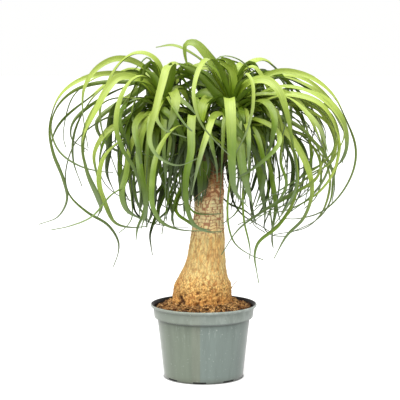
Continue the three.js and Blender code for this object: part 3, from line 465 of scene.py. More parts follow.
# Dry strands on the trunk: [width, points]
STRANDS = [
    [1.2, [[-14, -18, 272], [-22, -26, 280], [-11, -27, 293], [3, -24, 303], [16, -20, 310],
           [39, -18, 315]]],
    [1.1, [[10, -24, 233], [26, -28, 236], [34, -27, 245], [36, -25, 260], [35, -22, 275],
           [30, -17, 285]]],
    [1.0, [[-10, -22, 268], [-2, -26, 266.5], [10, -27, 266], [24, -22, 265]]],
    [1.3, [[44, -12, 144], [46, -15, 148], [50, -17, 154], [55, -18, 158], [58, -18, 160]]],
    [1.3, [[12, -13, 300], [8, -17, 316], [3, -18, 330], [-6, -20, 340]]],
    [1.3, [[24, -13, 300], [30, -16, 318], [33, -15, 334], [40, -14, 346]]],
    [1.2, [[18, -14, 296], [17, -17, 312], [15, -18, 330], [18, -16, 346]]],
]
STRAND_SIDES = 6
STRAND_SPANS = 6
STRAND_TAPER = 0.4


def srgb(red, green, blue):
    """Linear colour of three bytes."""
    return tuple((c / 255 / 12.92) if c <= 10 else ((c / 255 + 0.055) / 1.055) ** 2.4
                 for c in (red, green, blue))


def opaque(colour):
    return (*colour, 1.0)


def lerp(a, b, share):
    return a + (b - a) * share


def clamp(value, low=0.0, high=1.0):
    return max(low, min(high, value))


def scatter(index, step):
    """Evenly scattered values from 0 to 1, the same on every run."""
    return (0.37 + index * step) % 1


class Graph:
    """A node tree in the making: each call adds nodes and returns the socket that they give out."""

    def __init__(self, tree):
        self.tree = tree

    def feed(self, socket, value):
        if isinstance(value, bpy.types.NodeSocket):
            self.tree.links.new(value, socket)
        else:
            socket.default_value = value

    def add(self, kind, feeds=None, out=0, **settings):
        node = self.tree.nodes.new(kind)
        for name, value in settings.items():
            setattr(node, name, value)
        for key, value in (feeds or {}).items():
            self.feed(node.inputs[key], value)
        return node.outputs[out] if len(node.outputs) else node

    def math(self, operation, a, b=0.0):
        return self.add("ShaderNodeMath", {0: a, 1: b}, operation=operation)

    def product(self, first, *others):
        for other in others:
            first = self.math("MULTIPLY", first, other)
        return first

    def total(self, first, *others):
        for other in others:
            first = self.math("ADD", first, other)
        return first

    def minus(self, a, b):
        return self.math("SUBTRACT", a, b)

    def vector(self, operation, a, b):
        return self.add("ShaderNodeVectorMath", {0: a, 1: b}, operation=operation)

    def scaled(self, vector, by):
        return self.add("ShaderNodeVectorMath", {0: vector, "Scale": by}, operation="SCALE")

    def stretched(self, vector, by):
        return self.vector("MULTIPLY", vector, by)

    def ease(self, value, low, high, to_low=0.0, to_high=1.0):
        return self.add("ShaderNodeMapRange", {
            "Value": value, "From Min": low, "From Max": high, "To Min": to_low,
            "To Max": to_high}, interpolation_type="SMOOTHSTEP")

    def axes(self, vector):
        node = self.tree.nodes.new("ShaderNodeSeparateXYZ")
        self.feed(node.inputs[0], vector)
        return node.outputs[0], node.outputs[1], node.outputs[2]

    def from_axis(self, vector):
        """Distance of a place from the upright axis."""
        x, y, _ = self.axes(vector)
        return self.math("SQRT", self.total(self.product(x, x), self.product(y, y)))

    def joined(self, x, y, z):
        return self.add("ShaderNodeCombineXYZ", {0: x, 1: y, 2: z})

    def noise(self, vector, scale, detail=3.0, roughness=0.5, out=0):
        return self.add("ShaderNodeTexNoise", {
            "Vector": vector, "Scale": scale, "Detail": detail, "Roughness": roughness},
            out=out, noise_dimensions="3D")

    def cells(self, vector, feature="DISTANCE_TO_EDGE"):
        return self.add("ShaderNodeTexVoronoi", {"Vector": vector, "Scale": 1.0},
                        feature=feature, voronoi_dimensions="3D")

    def blend(self, share, a, b, mode="MIX"):
        a, b = (c if isinstance(c, bpy.types.NodeSocket) else opaque(c) for c in (a, b))
        return self.add("ShaderNodeMix", {0: share, 6: a, 7: b}, out=2, data_type="RGBA",
                        blend_type=mode)

    def ramp(self, share, stops):
        """A colour ramp through (place, colour) stops."""
        node = self.tree.nodes.new("ShaderNodeValToRGB")
        self.feed(node.inputs[0], share)
        elements = node.color_ramp.elements
        while len(elements) < len(stops):
            elements.new(0.5)
        for element, (place, colour) in zip(elements, stops):
            element.position = place
            element.color = opaque(colour)
        return node.outputs[0]


class GeometryGraph(Graph):
    """A Geometry Nodes tree with one geometry in, named sizes, and one geometry out."""

    def __init__(self, name, sizes):
        super().__init__(bpy.data.node_groups.new(name, "GeometryNodeTree"))
        face = self.tree.interface
        face.new_socket("Geometry", in_out="INPUT", socket_type="NodeSocketGeometry")
        for label, value in sizes.items():
            kind = "NodeSocketInt" if isinstance(value, int) else "NodeSocketFloat"
            face.new_socket(label, in_out="INPUT", socket_type=kind).default_value = value
        face.new_socket("Geometry", in_out="OUTPUT", socket_type="NodeSocketGeometry")
        self.given = self.tree.nodes.new("NodeGroupInput").outputs
        self.position = self.add("GeometryNodeInputPosition")

    def named(self, name, kind="FLOAT"):
        return self.add("GeometryNodeInputNamedAttribute", {"Name": name}, data_type=kind)

    def store(self, geometry, name, value, kind="FLOAT", domain="POINT"):
        return self.add("GeometryNodeStoreNamedAttribute", {
            "Geometry": geometry, "Name": name, "Value": value}, data_type=kind, domain=domain)

    def moved(self, geometry, offset):
        return self.add("GeometryNodeSetPosition", {"Geometry": geometry, "Offset": offset})

    def random(self, low, high, seed):
        if isinstance(low, tuple):
            return self.add("FunctionNodeRandomValue", {0: low, 1: high, "Seed": seed},
                            data_type="FLOAT_VECTOR")
        return self.add("FunctionNodeRandomValue", {2: low, 3: high, "Seed": seed}, out=1,
                        data_type="FLOAT")

    def realized(self, geometry):
        return self.add("GeometryNodeRealizeInstances", {"Geometry": geometry})

    def close(self, geometry, material):
        """Ends the tree in plain geometry with its material."""
        dressed = self.add("GeometryNodeSetMaterial", {
            "Geometry": self.realized(geometry), "Material": material})
        self.add("NodeGroupOutput", {"Geometry": dressed})
        return self.tree


class Finish(Graph):
    """A material in the making: its shader, its object coordinates and what is painted so far."""

    def __init__(self, name):
        self.material = bpy.data.materials.new(name)
        self.material.use_nodes = True
        super().__init__(self.material.node_tree)
        self.shader = self.tree.nodes["Principled BSDF"]
        self.place = self.add("ShaderNodeTexCoord", out="Object")
        self.paint = None

    def give(self, name, value):
        """Sets or links an input of the shader."""
        self.feed(self.shader.inputs[name], value)

    def said(self, name):
        """What the mesh says at a point under this name."""
        return self.add("ShaderNodeAttribute", out=2, attribute_name=name)

    def drawn_out(self, scales, detail=4.0, roughness=0.6):
        """Noise with its own scale along each axis."""
        return self.noise(self.stretched(self.place, scales), 1.0, detail, roughness)

    def layer(self, share, colour, mode="MIX"):
        """Lays a colour over the paint."""
        self.paint = self.blend(share, self.paint, colour, mode)

    def shade(self, share, pattern, stops):
        """Multiplies the paint by a ramp of factors over a pattern."""
        self.layer(share, self.ramp(pattern, stops), "MULTIPLY")

    def close(self, height, strength, distance):
        """Ends the material in its paint and a bump."""
        self.give("Base Color", self.paint)
        self.give("Normal", self.add("ShaderNodeBump", {
            "Strength": strength, "Distance": distance, "Height": height}))
        return self.material


def new_mesh(name, points, faces=(), edges=(), attributes=None):
    """A mesh from points in millimetres, with point attributes of one or three numbers."""
    mesh = bpy.data.meshes.new(name)
    mesh.from_pydata([tuple(c * MM for c in point) for point in points], edges, faces)
    for label, values in (attributes or {}).items():
        if isinstance(values[0], (int, float)):
            mesh.attributes.new(label, "FLOAT", "POINT").data.foreach_set("value", values)
        else:
            flat = [c for value in values for c in value]
            mesh.attributes.new(label, "FLOAT_VECTOR", "POINT").data.foreach_set("vector", flat)
    mesh.update()
    return mesh


def skinned(rings, start, end, first=0):
    """Points and faces of a row of rings, closed by a fan to start and end."""
    count = len(rings[0])
    points = [start] + [point for ring in rings for point in ring] + [end]
    faces = []
    for i in range(count):
        j = (i + 1) % count
        faces.append((first, first + 1 + j, first + 1 + i))
        for row in range(len(rings) - 1):
            a = first + 1 + row * count
            faces.append((a + i, a + j, a + count + j, a + count + i))
        a = first + 1 + (len(rings) - 1) * count
        faces.append((a + i, a + j, first + len(points) - 1))
    return points, faces


def worked_out(name, mesh, tree, sizes=None):
    """A plain mesh of what the tree turns this mesh into."""
    carrier = bpy.data.objects.new(name, mesh)
    bpy.context.scene.collection.objects.link(carrier)
    modifier = carrier.modifiers.new("Build", "NODES")
    modifier.node_group = tree
    for item in tree.interface.items_tree:
        if item.item_type == "SOCKET" and item.in_out == "INPUT" and item.name in (sizes or {}):
            modifier[item.identifier] = sizes[item.name]
    seen = carrier.evaluated_get(bpy.context.evaluated_depsgraph_get())
    result = bpy.data.meshes.new_from_object(seen)
    bpy.data.objects.remove(carrier)
    bpy.data.meshes.remove(mesh)
    if not result.polygons:
        raise RuntimeError(f"the tree for {name} made no faces")
    return result


def placed(name, mesh, slot, *nodes, crease=50):
    """Puts the mesh in the scene as a piece of the palm that stands for these CAD nodes."""
    mesh.name = name
    mesh.shade_smooth()
    mesh.set_sharp_from_angle(angle=math.radians(crease))
    piece = bpy.data.objects.new(name, mesh)
    bpy.context.scene.collection.objects.link(piece)
    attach(piece, BODY)
    if nodes:
        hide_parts(*nodes)


# Finishes

def pot_finish(colours):
    """Grey-green plastic of two tints, scuffed, flecked and soiled at the foot, with painted shade under
    the band, in the drain slots and on the inner wall, and scuffs on the band that are partly a painted
    highlight.
    """
    finish = Finish("Moulded pot plastic")
    x, _, z = finish.axes(finish.place)
    finish.paint = finish.blend(finish.ease(x, *SEAM), colours.warm_side, colours.cool_side)
    stripe = finish.product(finish.ease(x, *STRIPE_EDGE), finish.ease(x, SEAM[1], SEAM[0]))
    finish.layer(finish.product(stripe, 0.3), colours.stripe)
    drawn = finish.drawn_out((70, 70, 5))
    finish.shade(0.5, drawn, [(0.25, (0.62, 0.62, 0.62)), (0.55, (1, 1, 1))])
    scuff = finish.drawn_out((190, 190, 14), 5.0, 0.7)
    finish.layer(finish.ease(scuff, 0.58, 0.72, 0.0, 0.34), colours.scuff)
    # The band is painted paler than the wall below. Its whitish smears, stronger to the right, are partly
    # scuffs and partly a painted highlight
    band = finish.ease(z, BAND_FOOT * MM, (BAND_FOOT + 3) * MM)
    finish.layer(finish.product(band, 0.5), colours.band)
    smear = finish.drawn_out((110, 110, 34), 4.0, 0.65)
    scuffs_and_highlight = finish.product(band, finish.ease(smear, 0.42, 0.66),
                            finish.ease(x, -0.02, 0.02, 0.1, 0.36))
    finish.layer(scuffs_and_highlight, colours.scuff)
    fleck = finish.noise(finish.place, 420.0, 2.0)
    finish.layer(finish.ease(fleck, 0.69, 0.75, 0.0, 0.6), colours.fleck)
    dirt = finish.noise(finish.place, 90.0, 5.0, 0.65)
    finish.layer(finish.product(finish.ease(z, 0.012, 0.0), dirt, 0.7), colours.dirt)
    # Painted shadow: a dark line painted just under the band's step, where the band shades the wall
    band_shadow = finish.product(finish.ease(z, (BAND_FOOT - 6) * MM, (BAND_FOOT - 1) * MM),
                           finish.ease(z, (BAND_FOOT + 1.5) * MM, (BAND_FOOT + 0.5) * MM))
    finish.layer(finish.product(band_shadow, 0.55), colours.band_shadow)
    under = finish.minus(FOOT_ROUND * MM, z)
    rounding = finish.math("SQRT", finish.math("MAXIMUM", finish.minus(
        (FOOT_ROUND * MM) ** 2, finish.product(under, under)), 0.0))
    wall = finish.total(rounding, (FOOT_RADIUS - FOOT_ROUND - SLOT_SHADE_DEPTH) * MM)
    slotted = finish.product(finish.math("LESS_THAN", z, SLOT_TOP * MM),
                             finish.math("LESS_THAN", finish.from_axis(finish.place), wall))
    finish.layer(slotted, colours.slot)
    # Painted shade: the inner wall, which faces the axis, is painted near-black brown as the shade within
    # the pot
    facing_out = finish.add("ShaderNodeVectorMath", {
        0: finish.add("ShaderNodeNewGeometry", out="Normal"),
        1: finish.stretched(finish.place, (1, 1, 0))}, out="Value", operation="DOT_PRODUCT")
    outside = finish.ease(facing_out, -0.03, 0.0)
    finish.paint = finish.blend(outside, colours.inside, finish.paint)
    finish.give("Coat Weight", finish.product(outside, 0.35))
    finish.give("Coat Roughness", 0.22)
    finish.give("Sheen Weight", outside)
    finish.give("Sheen Roughness", 0.35)
    finish.give("Specular IOR Level", finish.ease(outside, 0.0, 1.0, 0.1, 0.5))
    finish.give("Roughness", finish.ease(scuff, 0.3, 0.8, 0.36, 0.6))
    fine = finish.noise(finish.stretched(finish.place, (1, 1, 0.5)), 900.0, 2.0)
    return finish.close(finish.total(finish.product(fine, 0.3), drawn), 0.18, 0.001)


def soil_finish(colours):
    """Brown chips, with crumbs of bark fallen round the trunk, and painted shade towards the pot's wall.
    """
    finish = Finish("Bark chip mix")
    finish.give("Roughness", 0.92)
    chip = finish.said("chip")
    finish.paint = finish.ramp(chip, [(0.12, colours.deep), (0.35, colours.dark_chip),
                                      (0.7, colours.chip), (1.0, colours.pale_chip)])
    grain = finish.noise(finish.place, 420.0, 6.0, 0.7)
    finish.shade(0.8, grain, [(0.3, (0.45, 0.42, 0.38)), (0.62, (1.1, 1.08, 1.02))])
    out = finish.from_axis(finish.place)
    # Painted shade: the soil is painted darker towards the pot's wall
    finish.layer(finish.ease(out, 0.060, 0.078, 0.0, 0.75), colours.deep)
    fallen = finish.product(finish.ease(out, 0.066, 0.052), finish.ease(chip, 0.2, 0.7, 0.1, 0.55))
    finish.layer(fallen, colours.fallen)
    return finish.close(grain, 0.7, 0.0012)


def bark_finish(colours):
    """Corky bark, zone by zone up the trunk, dark in its cracks, with painted shade in its hollows and
    over the branches under the heads.
    """
    finish = Finish("Corky bark")
    finish.give("Roughness", 0.9)
    z = finish.axes(finish.scaled(finish.place, 1 / MM))[2]
    wander = finish.minus(finish.noise(finish.place, 60.0), 0.5)
    low, high = BARK_COLOURS_OVER
    level = finish.add("ShaderNodeMapRange", {
        "Value": finish.total(z, finish.product(wander, 30.0)), "From Min": low, "From Max": high})
    finish.paint = finish.ramp(level, [
        (0.10, colours.foot), (0.27, colours.cork), (0.45, colours.cork), (0.58, colours.plates),
        (0.70, colours.plates), (0.735, colours.neck), (0.79, colours.neck),
        (0.82, colours.fibre), (0.88, colours.fibre), (0.93, colours.branch_shade)])
    mottle = finish.drawn_out((150, 150, 70), 6.0, 0.65)
    finish.shade(0.75, mottle, [
        (0.28, (0.55, 0.46, 0.36)), (0.5, (1, 1, 1)), (0.72, (1.22, 1.24, 1.25))])
    patch = finish.drawn_out((38, 38, 16))
    rusty = finish.total(*(finish.ease(z, *zone) for zone in RUST_ZONES))
    finish.layer(finish.product(rusty, finish.ease(patch, 0.50, 0.72), 0.6), colours.rust)
    streak = finish.drawn_out((360, 360, 30), 4.0, 0.65)
    finish.layer(finish.product(finish.ease(streak, 0.46, 0.60),
                                finish.ease(z, *STREAK_ZONE, 0.25, 0.7)), colours.streak)
    crumb = finish.noise(finish.place, 360.0, 4.0, 0.7)
    finish.shade(finish.ease(z, *FOOT_ZONE, 0.15, 0.9), crumb, [
        (0.38, (0.38, 0.28, 0.18)), (0.5, (0.97, 0.92, 0.82)), (0.62, (1.35, 1.37, 1.30))])
    fibres = finish.drawn_out((420, 420, 60))
    finish.shade(0.5, fibres, [(0.3, (0.6, 0.55, 0.5)), (0.6, (1.15, 1.08, 1.03))])
    crevice = finish.blend(finish.ease(z, *PLATE_ZONE[0]), colours.crevice, colours.red_crevice)
    finish.layer(finish.ease(finish.said("crevice"), 0.12, 0.9, 0.0, 0.78), crevice)
    # Painted shade: pits in the bark are painted near-black, darker the deeper they are sunk
    finish.layer(finish.ease(finish.said("pit"), 0.1, 0.9, 0.0, 0.9), colours.hollow_shade)
    # Painted shade: the branches under the heads are painted dark olive-brown
    finish.layer(finish.ease(z, *BRANCH_SHADE_ZONE, 0.0, 0.92), colours.branch_shade)
    grain = finish.noise(finish.place, 520.0, 5.0, 0.7)
    return finish.close(finish.total(finish.product(fibres, 0.8), grain, mottle), 0.8, 0.0014)


def leaf_finish(colours):
    """Green, painted lighter high up, near the base and far out as light falls, with veins, pale bases,
    dull undersides and tips.
    """
    finish = Finish("Ponytail palm leaf")
    along, across, tone = (finish.said(name) for name in ("along", "across", "tone"))
    under = finish.math("GREATER_THAN", finish.said("under"), 0.02)
    x, _, z = finish.axes(finish.place)
    # Painted light and shade: lighter high up, along the arch near the base, far out and in light-toned
    # leaves
    high = finish.ease(z, 0.30, 0.51, 0.0, 0.43)
    arch_light = finish.ease(along, 0.85, 0.15, 0.0, 0.28)
    outer_light = finish.ease(finish.math("ABSOLUTE", x), 0.11, 0.21, 0.0, 0.24)
    blotch = finish.minus(finish.noise(finish.place, 26.0), 0.5)
    lit = finish.total(finish.product(tone, 0.55), high, arch_light, outer_light, finish.product(blotch, 0.4))
    finish.paint = finish.ramp(lit, [
        (0.12, colours.deep), (0.52, colours.middle), (0.92, colours.lit)])
    # Painted shade: the bases of dark-toned leaves, deep in the crown, take the shaded base colour
    rooted = finish.blend(finish.ease(tone, 0.3, -0.3), colours.root, colours.shaded_base)
    finish.layer(finish.ease(along, 0.28, 0.02, 0.0, 0.75), rooted)
    veins = finish.noise(finish.joined(
        finish.product(across, 9.0), finish.product(along, 6.0), finish.product(tone, 61.0)),
        1.0, 3.0, 0.6)
    finish.shade(0.7, veins, [(0.3, (0.64, 0.70, 0.56)), (0.62, (1.18, 1.16, 1.12))])
    lower = finish.blend(finish.ease(z, 0.41, 0.47), colours.underside, colours.high_underside)
    finish.layer(finish.product(under, finish.ease(tone, -0.3, 0.4, 0.1, 0.75)), lower)
    finish.layer(finish.ease(along, 0.5, 1.0, 0.0, 0.8), colours.tip)
    finish.give("Roughness", finish.ease(veins, 0.3, 0.7, 0.33, 0.48))
    finish.give("Specular IOR Level", finish.ease(lit, 0.1, 0.8, 0.08, 0.58))
    return finish.close(veins, 0.35, 0.0006)


def strand_finish(colours):
    """Dry, straw-coloured fibre."""
    finish = Finish("Dry leaf strand")
    finish.give("Roughness", 0.7)
    grain = finish.noise(finish.place, 300.0)
    finish.paint = finish.blend(grain, colours.dry, colours.dry_dark)
    return finish.close(grain, 0.3, 0.0005)


def floor_finish():
    """Pale and matt, and nearly white to the eye without lighting the piece from below; its glow fades
    out round the pot's foot as a painted contact shadow.
    """
    finish = Finish("Pale floor")
    finish.give("Roughness", 0.9)
    finish.give("Base Color", (0.46, 0.46, 0.455, 1.0))
    finish.give("Emission Color", (1.0, 1.0, 0.99, 1.0))
    seen = finish.add("ShaderNodeLightPath", out="Is Camera Ray")
    # Painted shadow: the glow is off under the pot and fades in just round its foot
    foot = FOOT_RADIUS * MM
    glow_past_contact_shadow = finish.ease(finish.from_axis(finish.place), foot, foot * 1.035)
    finish.give("Emission Strength", finish.product(seen, glow_past_contact_shadow, 0.68))
    return finish.material


# Shapes of the pieces

def moved_out(points, radius, height):
    return [[radius + out, height + up] for out, up in points]


def pot_profile():
    """[radius, height] pairs from the middle of the underside round the wall to the floor."""
    corner = [[FOOT_RADIUS - FOOT_ROUND * (1 - math.sin(math.radians(t))),
               FOOT_ROUND * (1 - math.cos(math.radians(t)))] for t in range(0, 91, 15)]
    wall = [[lerp(FOOT_RADIUS, BODY_TOP_RADIUS, i / BODY_STEPS),
             lerp(FOOT_ROUND, BODY_TOP, i / BODY_STEPS)] for i in range(1, BODY_STEPS + 1)]
    band_start = BAND_FOOT + BAND_EDGE[-1][1]
    band = [[lerp(BAND_RADIUS, BAND_TOP[0], s), lerp(band_start, BAND_TOP[1], s)]
            for s in (0.25, 0.5, 0.75, 1)]
    return [[MIDDLE_RADIUS, 0], *corner, *wall, *moved_out(BODY_EDGE, BODY_TOP_RADIUS, BAND_FOOT),
            *moved_out(BAND_EDGE, BAND_RADIUS, BAND_FOOT), *band,
            *moved_out(LIP, RIM_RADIUS, POT_HEIGHT), *INNER_WALL, [MIDDLE_RADIUS, FLOOR]]


def turned(profile, sides):
    """Rings of a profile turned round the pot's axis."""
    turns = [2 * math.pi * i / sides for i in range(sides)]
    return [[(radius * math.cos(t), radius * math.sin(t), height) for t in turns]
            for radius, height in profile]


def slot_tree(material):
    """Cuts the drain slots out of the pot's foot."""
    graph = GeometryGraph("Drain slots", {"Slots": SLOT_COUNT, "Radius": FOOT_RADIUS * MM})
    index = graph.add("GeometryNodeInputIndex")
    turn = graph.total(graph.product(index, 2 * math.pi / SLOT_COUNT), FRONT_SLOT_ANGLE)
    spot = graph.joined(graph.product(graph.math("COSINE", turn), graph.given["Radius"]),
                        graph.product(graph.math("SINE", turn), graph.given["Radius"]), 0.0)
    points = graph.add("GeometryNodePoints", {"Count": graph.given["Slots"], "Position": spot})
    block = graph.add("GeometryNodeMeshCube", {"Size": tuple(s * MM for s in SLOT_SIZE)})
    cut = graph.add("GeometryNodeInstanceOnPoints", {
        "Points": points, "Instance": block, "Rotation": graph.joined(0.0, 0.0, turn)})
    pot = graph.add("GeometryNodeMeshBoolean", {
        "Mesh 1": graph.given["Geometry"], "Mesh 2": graph.realized(cut)},
        operation="DIFFERENCE", solver="EXACT")
    return graph.close(pot, material)


def soil_profile():
    """[radius, height] pairs from the middle of the underside round the edge to the crown."""
    top = [[lerp(SOIL_EDGE_RADIUS, SOIL_CROWN_RADIUS, i / SOIL_STEPS),
            lerp(SOIL_EDGE, SOIL_CROWN, math.sin(i / SOIL_STEPS * math.pi / 2))]
           for i in range(SOIL_STEPS + 1)]
    foot = FLOOR + SOIL_GAP
    return [[MIDDLE_RADIUS, foot], [SOIL_FOOT_RADIUS - FLOOR_CORNER, foot],
            [SOIL_FOOT_RADIUS, foot + FLOOR_CORNER],
            [BODY_TOP_RADIUS - WALL - SOIL_GAP, BAND_FOOT - 2],
            [BAND_RADIUS - WALL - SOIL_GAP, BAND_FOOT + SOIL_GAP],
            *top, [SOIL_CROWN_RADIUS / 2, SOIL_CROWN], [MIDDLE_RADIUS, SOIL_CROWN]]


def soil_tree(material):
    """Raises lumps on the soil and scatters ragged chips over its top."""
    graph = GeometryGraph("Chips on soil", {
        "Chips per square metre": CHIP_DENSITY, "Lumpiness": LUMPINESS, "Seed": CHIP_SEED})
    on_top = graph.ease(graph.axes(graph.position)[2], *SOIL_TOP)
    lumps = graph.minus(graph.noise(graph.position, 95.0), 0.45)
    rise = graph.product(lumps, graph.given["Lumpiness"], 2.0, on_top)
    ground = graph.moved(graph.given["Geometry"], graph.joined(0.0, 0.0, rise))
    facing = graph.axes(graph.add("GeometryNodeInputNormal"))[2]
    out = graph.from_axis(graph.position)
    open_top = graph.product(graph.math("GREATER_THAN", facing, 0.5), on_top,
                             graph.math("LESS_THAN", out, CHIP_REACH))
    points = graph.add("GeometryNodeDistributePointsOnFaces", {
        "Mesh": ground, "Selection": open_top, "Density": graph.given["Chips per square metre"],
        "Seed": graph.given["Seed"]}, distribute_method="RANDOM")
    block = graph.add("GeometryNodeMeshCube", {
        "Size": (1.0, 1.0, 1.0), "Vertices X": 3, "Vertices Y": 3, "Vertices Z": 2})
    chips = graph.add("GeometryNodeInstanceOnPoints", {
        "Points": points, "Instance": block, "Rotation": graph.random(*CHIP_TILTS, 5),
        "Scale": graph.random(*CHIP_SIZES, 3)})
    chips = graph.store(chips, "chip", graph.random(0.15, 1.0, 11), domain="INSTANCE")
    lift = graph.total(graph.random(*CHIP_LIFT, 13), graph.ease(out, *CHIP_HEAP))
    chips = graph.add("GeometryNodeTranslateInstances", {
        "Instances": chips, "Translation": graph.joined(0.0, 0.0, lift), "Local Space": False})
    ragged = graph.vector("SUBTRACT", graph.noise(graph.position, 260.0, 1.0, out=1),
                          (0.5, 0.5, 0.5))
    chips = graph.moved(graph.realized(chips), graph.scaled(ragged, CHIP_RAGGEDNESS))
    both = graph.tree.nodes.new("GeometryNodeJoinGeometry")
    graph.feed(both.inputs[0], chips)
    graph.feed(both.inputs[0], ground)
    return graph.close(both.outputs[0], material)


def outline_at(height):
    """Radius and centre of the trunk at a height, on a smooth curve through its outline."""
    last = len(TRUNK_OUTLINE) - 1
    span = next((i for i in range(last) if height <= TRUNK_OUTLINE[i + 1][0]), last - 1)
    row = [TRUNK_OUTLINE[max(0, min(last, span + i))] for i in (-1, 0, 1, 2)]
    step = row[2][0] - row[1][0]
    t = (height - row[1][0]) / step
    found = []
    for k in (1, 2):
        m0 = (row[2][k] - row[0][k]) / max(row[2][0] - row[0][0], 1) * step
        m1 = (row[3][k] - row[1][k]) / max(row[3][0] - row[1][0], 1) * step
        found.append((2 * t ** 3 - 3 * t ** 2 + 1) * row[1][k] + (t ** 3 - 2 * t ** 2 + t) * m0
                     + (3 * t ** 2 - 2 * t ** 3) * row[2][k] + (t ** 3 - t ** 2) * m1)
    return found


def hollow_at(point):
    """How deep the trunk's front is sunk at a point, and how much painted shade is put there."""
    depth = dark = 0.0
    if point[1] < 0:
        for x, z, half_width, half_height, deep in HOLLOWS:
            away = ((point[0] - x) / half_width) ** 2 + ((point[2] - z) / half_height) ** 2
            depth += deep * math.exp(-away)
            dark += (deep / DARKEST_HOLLOW) ** 0.5 * math.exp(-away * DARK_FALLOFF)
    return depth, dark


def stem_mesh():
    """Points and faces of the trunk up to its fork, and how much painted shade each point gets in the
    hollows.
    """
    low, high = TRUNK_OUTLINE[0][0], TRUNK_OUTLINE[-1][0]
    count = round((high - low) / STEM_ROW)
    rings, pits = [], [0.0]
    for row in range(count + 1):
        height = lerp(low, high, row / count)
        radius, centre = outline_at(height)
        ring = []
        for i in range(STEM_SIDES):
            turn = 2 * math.pi * i / STEM_SIDES
            point = (centre + radius * math.cos(turn), radius * math.sin(turn), height)
            sunk, dark = hollow_at(point)
            inner = radius - sunk
            ring.append((centre + inner * math.cos(turn), inner * math.sin(turn), height))
            pits.append(clamp(dark))
        rings.append(ring)
    pits.append(0.0)
    return skinned(rings, (TRUNK_OUTLINE[0][2], 0, low), (TRUNK_OUTLINE[-1][2], 0, high)) + (pits,)


def swept(points, radius, sides, first, spans, taper):
    """A round limb along a curve through points."""
    route = [Vector(point) for point in points]
    count = (len(route) - 1) * spans
    rings, across = [], Vector((0, 1, 0))
    for row in range(count + 1):
        here = along_curve(route, row / count)
        tangent = heading_at(route, row / count)
        out = tangent.cross(across).normalized()
        side = tangent.cross(out)
        size = radius * lerp(1.0, taper, row / count)
        rings.append([here + out * (size * math.cos(t)) + side * (size * math.sin(t))
                      for t in (2 * math.pi * i / sides for i in range(sides))])
    return skinned(rings, along_curve(route, 0), along_curve(route, 1), first)


def with_limbs(points, faces, limbs, sides, spans=10, taper=1.0):
    """The points and faces with a round limb more for each radius and route."""
    for radius, route in limbs:
        more_points, more_faces = swept(route, radius, sides, len(points), spans, taper)
        points += more_points
        faces += more_faces
    return points, faces


def bark_tree(material):
    """Cuts the cracks of the bark and roughens it, zone by zone."""
    graph = GeometryGraph("Bark relief", {"Relief": 1.0, "Plate width": PLATE_WIDTH})
    spot = graph.scaled(graph.position, 1 / MM)
    x, y, z = graph.axes(spot)
    warp = graph.vector("SUBTRACT", graph.noise(spot, 0.06, 2.0, out=1), (0.5, 0.5, 0.5))
    plate = graph.joined(*[graph.given["Plate width"]] * 3)
    bent = graph.vector("DIVIDE", graph.vector("ADD", spot, graph.scaled(warp, 16.0)), plate)
    rows = graph.total(graph.product(z, 0.2), graph.product(graph.axes(warp)[2], 2.4))
    bricks = graph.joined(graph.product(x, 0.09), graph.product(y, 0.09),
                          graph.product(graph.math("FLOOR", rows), 3.7))
    cork, plates = (graph.product(*(graph.ease(z, *edge) for edge in zone))
                    for zone in (CORK_ZONE, PLATE_ZONE))
    foot = graph.ease(z, *FOOT_ZONE)
    neck = graph.ease(z, *NECK_ZONE)
    long_cracks = graph.ease(graph.cells(graph.stretched(bent, (0.80, 0.80, 0.15))), 0.19, 0.0)
    fine_cracks = graph.ease(graph.cells(graph.stretched(bent, (1.5, 1.5, 0.35))), 0.16, 0.0)
    breaks = graph.ease(graph.cells(bricks), 0.09, 0.02)
    faint = graph.ease(graph.noise(spot, 0.11, 2.0), 0.38, 0.56, 0.3, 1.0)
    row_cracks = graph.product(graph.ease(graph.math("PINGPONG", rows, 0.5), 0.17, 0.04), faint)
    cross_cracks = graph.math("MAXIMUM", row_cracks, graph.product(breaks, 0.85))
    gaps = graph.ease(graph.cells(graph.stretched(bent, (1.3, 1.3, 1.2)), "F1"), 0.42, 0.80)
    rings = graph.ease(graph.cells(graph.stretched(bent, (0.30, 0.30, 0.85))), 0.2, 0.02)
    crevice = graph.total(
        graph.product(cork, graph.total(graph.product(long_cracks, 0.5),
                                        graph.product(fine_cracks, 0.22))),
        graph.product(plates, cross_cracks), graph.product(foot, gaps, 0.75),
        graph.product(neck, rings, 0.9))
    rough, lumps, strands = (graph.minus(noise, 0.5) for noise in (
        graph.noise(spot, 0.22, 5.0, 0.6), graph.noise(spot, 0.045, 2.0),
        graph.noise(graph.stretched(spot, (0.7, 0.7, 0.06)), 1.0)))
    depth = graph.total(
        graph.product(crevice, -0.9),
        graph.product(rough, graph.total(1.6, graph.product(foot, 1.6))),
        graph.product(lumps, graph.total(2.0, graph.product(foot, 4.0))),
        graph.product(strands, neck, 2.6))
    normal = graph.add("GeometryNodeInputNormal")
    offset = graph.scaled(normal, graph.product(depth, graph.given["Relief"], MM))
    bark = graph.store(graph.given["Geometry"], "crevice", crevice)
    return graph.close(graph.moved(bark, offset), material)


# Leaves

